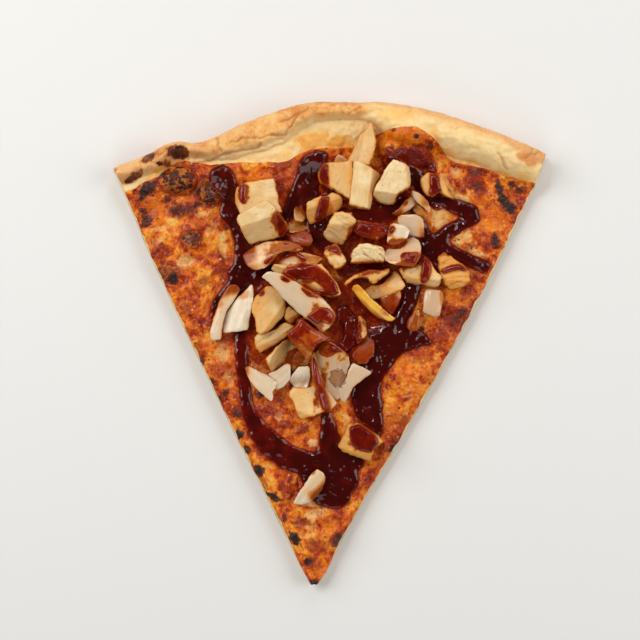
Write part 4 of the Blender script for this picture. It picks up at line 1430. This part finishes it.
class PIZZA_OT_chicken(Maker):
    """Adds the diced chicken"""
    bl_idname = "pizza.chicken"
    bl_label = "Chicken"

    def make(self, tones, sizes):
        material = chicken_material(tones)
        for k, node in enumerate(nodes_of("chicken_")):
            turn, gold, stain, torn, _, slopes = TOPPINGS[node]
            obj, at, up, top, edge = cut(node, node + "_meat", sizes.dice_cell, (.10, 1))
            inner = from_edge(at[:, 0], at[:, 1], edge)
            low = stacked()[node][3]
            rim = .45 * np.exp(-inner / .45)
            at[:, 2] = low + up * (top - rim - low)
            move_to(obj, at)
            way = normals(obj)
            grain = local(at, turn)
            ridges = wobble(grain * (.22, 1, 1), 1.5, 81 + k)
            slits = np.clip(np.abs(wobble(grain * (.2, 1, .6), 3.0, 181 + k)) * 7, 0, 1)
            out = (.14 * wobble(at, 3.4, 82) + .10 * wobble(at, 1.3, 83)
                   + .13 * ridges * (.35 + torn))
            at = at + way * (out - (1 - slits) * torn * .8)[:, None]
            move_to(obj, at)
            faces = np.zeros(len(at))
            ridge = 1 - smooth(.1, 1.0, inner)
            for s, steep in beyond(at[:, 0], at[:, 1], slopes):
                faces = np.maximum(faces, smooth(-.1, .35, s))
                ridge = np.maximum(ridge, .7 * np.exp(-(s / .55) ** 2))
            mark(obj, grain=local(at, turn) * MM,
                 gold=np.full(len(at), gold) + .25 * wobble(at, 6, 84 + k),
                 edge=ridge,
                 side=np.maximum(1 - smooth(.3, .8, way[:, 2]), faces * .7),
                 torn=(1 - slits) * torn,
                 stain=soaked(at, stain))
            SHARED["toppings"].append(put_on(obj, [node], material))


def make_slice(node, name, cell, k):
    """A soft slice over its outline: returns it with its points and how near its edge they are."""
    piece = TOPPINGS[node]
    obj, at, up, top, edge = cut(node, name, cell, (.15, 2))
    inner = from_edge(at[:, 0], at[:, 1], edge)
    grain = local(at, piece[0])
    top = top + .12 * wobble(grain * (.08, 1, .2), 1.4, 91 + k) + .25 * wobble(at, 6, 92 + k)
    taper = piece[5] * (.75 + .25 * smooth(0, 1.6, inner))
    at[:, 2] = top - taper * (1 - up) - .12 * np.exp(-inner / .4) * up
    move_to(obj, at)
    return obj, at, 1 - smooth(.1, 1.1, inner)


class PIZZA_OT_onion(Maker):
    """Adds the onion slices"""
    bl_idname = "pizza.onion"
    bl_label = "Onion"

    def make(self, tones, sizes):
        material = onion_material(tones)
        for k, node in enumerate(nodes_of("onion_")):
            turn, gold, stain, pink = TOPPINGS[node][:4]
            obj, at, edge = make_slice(node, node + "_slice", sizes.slice_cell, k)
            mark(obj, grain=local(at, turn) * MM,
                 gold=np.full(len(at), gold) * smooth(-.3, .5, wobble(at, 8, 93 + k)),
                 edge=edge * (.35 + gold * .8),
                 pink=np.full(len(at), pink),
                 burn=paint(at, ONION_BURN, .25, 2, 99),
                 stain=soaked(at, stain) + stain * .3)
            SHARED["toppings"].append(put_on(obj, [node], material))


class PIZZA_OT_pepper(Maker):
    """Adds the strip of yellow pepper"""
    bl_idname = "pizza.pepper"
    bl_label = "Pepper strip"

    def make(self, tones, sizes):
        obj, at = make_slice("pepper_strip", "pepper_strip_soft", sizes.slice_cell, 70)[:2]
        mark(obj, stain=soaked(at, .1))
        SHARED["toppings"].append(put_on(obj, ["pepper_strip"], pepper_material(tones)))


def eased_down(z):
    """Heights eased so that none stands over the highest place of the sauce."""
    past = np.maximum(z - (SAUCE_TOP - SAUCE_EASE), 0)
    return np.where(past > 0, SAUCE_TOP - SAUCE_EASE * np.exp(-past / SAUCE_EASE), z)


def pour(name, share, depth, ground):
    """A sheet of sauce over a ground: it dips under the ground outside its edge. Returns it with
    how high each point stands over the ground."""
    bm = bmesh.new()
    keep = share > .30
    bmesh.ops.create_grid(bm, x_segments=NX - 1, y_segments=NY - 1, size=.5)
    gone = []
    for v in bm.verts:
        i, j = round((v.co.x + .5) * (NX - 1)), round((v.co.y + .5) * (NY - 1))
        if keep[j, i]:
            v.co = (GRID_X + i * CELL, GRID_Y + j * CELL, 0)
        else:
            gone.append(v)
    bmesh.ops.delete(bm, geom=gone, context="VERTS")
    loose = [v for v in bm.verts if not v.link_faces]
    bmesh.ops.delete(bm, geom=loose, context="VERTS")
    thicken(bm, (0, 0, -1))
    obj = finished(name, bm)
    at = places(obj)
    x, y, bottom = at[:, 0], at[:, 1], at[:, 2] < -.5
    flat = plan(x, y)
    full = look_up(share, x, y) + .13 * (wobble(flat, 4.2, 97) + .6 * wobble(flat, 1.7, 98))
    s = (full - .5) / .5
    rise = look_up(depth, x, y) * np.sign(s) * np.abs(np.clip(s, -.4, 1)) ** .6
    rise *= 1 + .28 * wobble(flat, 5.5, 95) + .12 * wobble(flat, 2.4, 96)
    base = look_up(ground, x, y)
    z = eased_down(base + rise)
    z = np.where(bottom, np.minimum(z - .5, base - 1.0), z)
    move_to(obj, np.column_stack([x, y, z]))
    return obj, np.clip(rise, 0, 3)


class PIZZA_OT_sauce(Maker):
    """Adds the poured sauce on the cheese and over the toppings"""
    bl_idname = "pizza.sauce"
    bl_label = "Sauce"

    def make(self, tones, sizes):
        material = sauce_material(tones)
        cheese = [SHARED["cheese"]]
        heap = cheese + SHARED["toppings"]
        # Name, strokes, softness of the edge and of the ground, pieces that it lies on, nodes that
        # it stands for, share of the thickness, rise at which it is deep and the deepest it gets.
        for name, table, soft, ground_soft, pieces, nodes, thinned, deep, most in (
                ("sauce_pools", LOW_SAUCE, 1.0, 1.4, cheese, nodes_of("sauce_"), 1, 1.7, 1.0),
                ("sauce_drizzle", HIGH_SAUCE, .7, .5, heap, [], .85, 2.0, .56)):
            mask, thick = strokes(table)
            share = blur(mask, soft)
            cells = share > .2
            ground = height_under(pieces, cells)
            weight = np.maximum(blur(cells * 1.0, ground_soft), 1e-3)
            ground = np.where(cells, blur(np.where(cells, ground, 0), ground_soft) / weight, BASE_T)
            depth = blur(thick, soft) / np.maximum(share, .05) * sizes.sauce_depth
            obj, rise = pour(name, share, depth * thinned, ground)
            mark(obj, depth=np.minimum(rise / deep, most))
            put_on(obj, nodes, material)


class PIZZA_OT_specks(Maker):
    """Adds burnt crumbs and browned grains on the cheese"""
    bl_idname = "pizza.specks"
    bl_label = "Crumbs and grains"

    def scatter(self, name, tree, count, largest, seed, spots):
        """Small lumps of one kind, most of them around the given spots."""
        rng = np.random.default_rng(seed)
        bm = bmesh.new()
        made = 0
        while made < count:
            if rng.random() < .8:
                sx, sy, a, b = spots[rng.integers(len(spots))][:4]
                x, y = rng.normal(sx, a * .8), rng.normal(sy, b * .8)
            else:
                x, y = outline(rng.random(), rng.random() ** .5 * .95)
            hit = drop(tree, x, y)[0]
            if hit is None:
                continue
            size = rng.uniform(.5, largest) * MM
            turn = Euler(rng.uniform(0, 6.28, 3)).to_matrix().to_4x4()
            squash = Matrix.Diagonal((*rng.uniform(.5, 1.2, 3), 1))
            start = len(bm.verts)
            bmesh.ops.create_icosphere(bm, subdivisions=1, radius=size / 2,
                                       matrix=Matrix.Translation(hit) @ turn @ squash)
            bm.verts.ensure_lookup_table()
            for v in bm.verts[start:]:
                v.co += Vector(rng.normal(0, size * .09, 3))
            made += 1
        return finished(name, bm)

    def make(self, tones, sizes):
        tree = tree_of(SHARED["cheese"])
        for name, count, largest, seed, spots, label, light, dark in (
                ("burnt_crumbs", 260, 1.3, 7, CHEESE_CHAR,
                 "Burnt crumbs", tones.char, tones.scorch),
                ("browned_grains", 520, 1.2, 8, CHEESE_RED,
                 "Browned grains", tones.rust, tones.brick)):
            obj = self.scatter(name, tree, count, largest, seed, spots)
            put_on(obj, [], speck_material(label, light, dark))


class PIZZA_OT_stage(bpy.types.Operator):
    """Adds the floor, the lights and the camera"""
    bl_idname = "pizza.stage"
    bl_label = "Stage"

    def execute(self, context):
        """Adds everything around the slice."""
        scene, stage = context.scene, context.scene.pizza_stage
        bm = bmesh.new()
        bmesh.ops.create_grid(bm, x_segments=1, y_segments=1, size=3)
        floor = finished("floor", bm)
        s = Shader("Pale floor")
        floor.data.materials.append(s.finish(stage.floor, .7))
        floor.location.z = -.0003
        for name, watts, size, at in (("key", stage.key * .86, .8, (-.8, .35, .75)),
                                      ("spark", stage.key * .13, .13, (-.3, .45, .85)),
                                      ("fill", stage.fill, .8, (.85, .1, .6)),
                                      ("back", stage.fill * .6, .8, (.1, 1.0, .7)),
                                      ("front", stage.fill * .45, .8, (-.1, -1.0, .7))):
            light = bpy.data.lights.new(name, "AREA")
            light.energy, light.size = watts, size
            lamp = bpy.data.objects.new(name, light)
            lamp.location = at
            lamp.rotation_euler = (-Vector(at)).to_track_quat("-Z", "Y").to_euler()
            scene.collection.objects.link(lamp)
        world = bpy.data.worlds.new("Soft sky")
        world.use_nodes = True
        sky = world.node_tree.nodes["Background"]
        sky.inputs["Color"].default_value = (1, .985, .96, 1)
        sky.inputs["Strength"].default_value = stage.sky
        scene.world = world
        camera = bpy.data.cameras.new("camera")
        camera.lens, camera.sensor_width = stage.lens, 36
        camera.clip_start, camera.clip_end = .01, 20
        eye = bpy.data.objects.new("camera", camera)
        eye.location = (stage.camera_x, stage.camera_y, stage.camera_height)
        scene.collection.objects.link(eye)
        scene.camera = eye
        scene.view_settings.view_transform = "Standard"
        return {"FINISHED"}


GROUPS = {"pizza_tones": PizzaTones, "pizza_sizes": PizzaSizes, "pizza_stage": PizzaStage}
STEPS = (PIZZA_OT_bread, PIZZA_OT_cheese, PIZZA_OT_chicken, PIZZA_OT_onion, PIZZA_OT_pepper,
         PIZZA_OT_sauce, PIZZA_OT_specks, PIZZA_OT_stage)


class PIZZA_PT_panel(bpy.types.Panel):
    """Lists the steps in the sidebar"""
    bl_idname = "PIZZA_PT_panel"
    bl_label = "Pizza slice"
    bl_space_type = "VIEW_3D"
    bl_region_type = "UI"
    bl_category = "Pizza"

    def draw(self, context):
        for step in STEPS:
            self.layout.operator(step.bl_idname)
        for name, group in GROUPS.items():
            box = self.layout.box()
            for key in group.__annotations__:
                box.prop(getattr(context.scene, name), key)


CLASSES = (*GROUPS.values(), *STEPS, PIZZA_PT_panel)


def register():
    """Adds the classes and the scene's settings."""
    for cls in CLASSES:
        bpy.utils.register_class(cls)
    for name, group in GROUPS.items():
        setattr(bpy.types.Scene, name, bpy.props.PointerProperty(type=group))


def unregister():
    """Takes the settings and the classes away again."""
    for name in GROUPS:
        delattr(bpy.types.Scene, name)
    for cls in reversed(CLASSES):
        bpy.utils.unregister_class(cls)


def main():
    """Builds the slice step by step and notes the sizes of the model and of the finished pieces."""
    register()
    for step in STEPS:
        group, name = step.bl_idname.split(".")
        getattr(getattr(bpy.ops, group), name)()


if __name__ == "__main__":
    main()
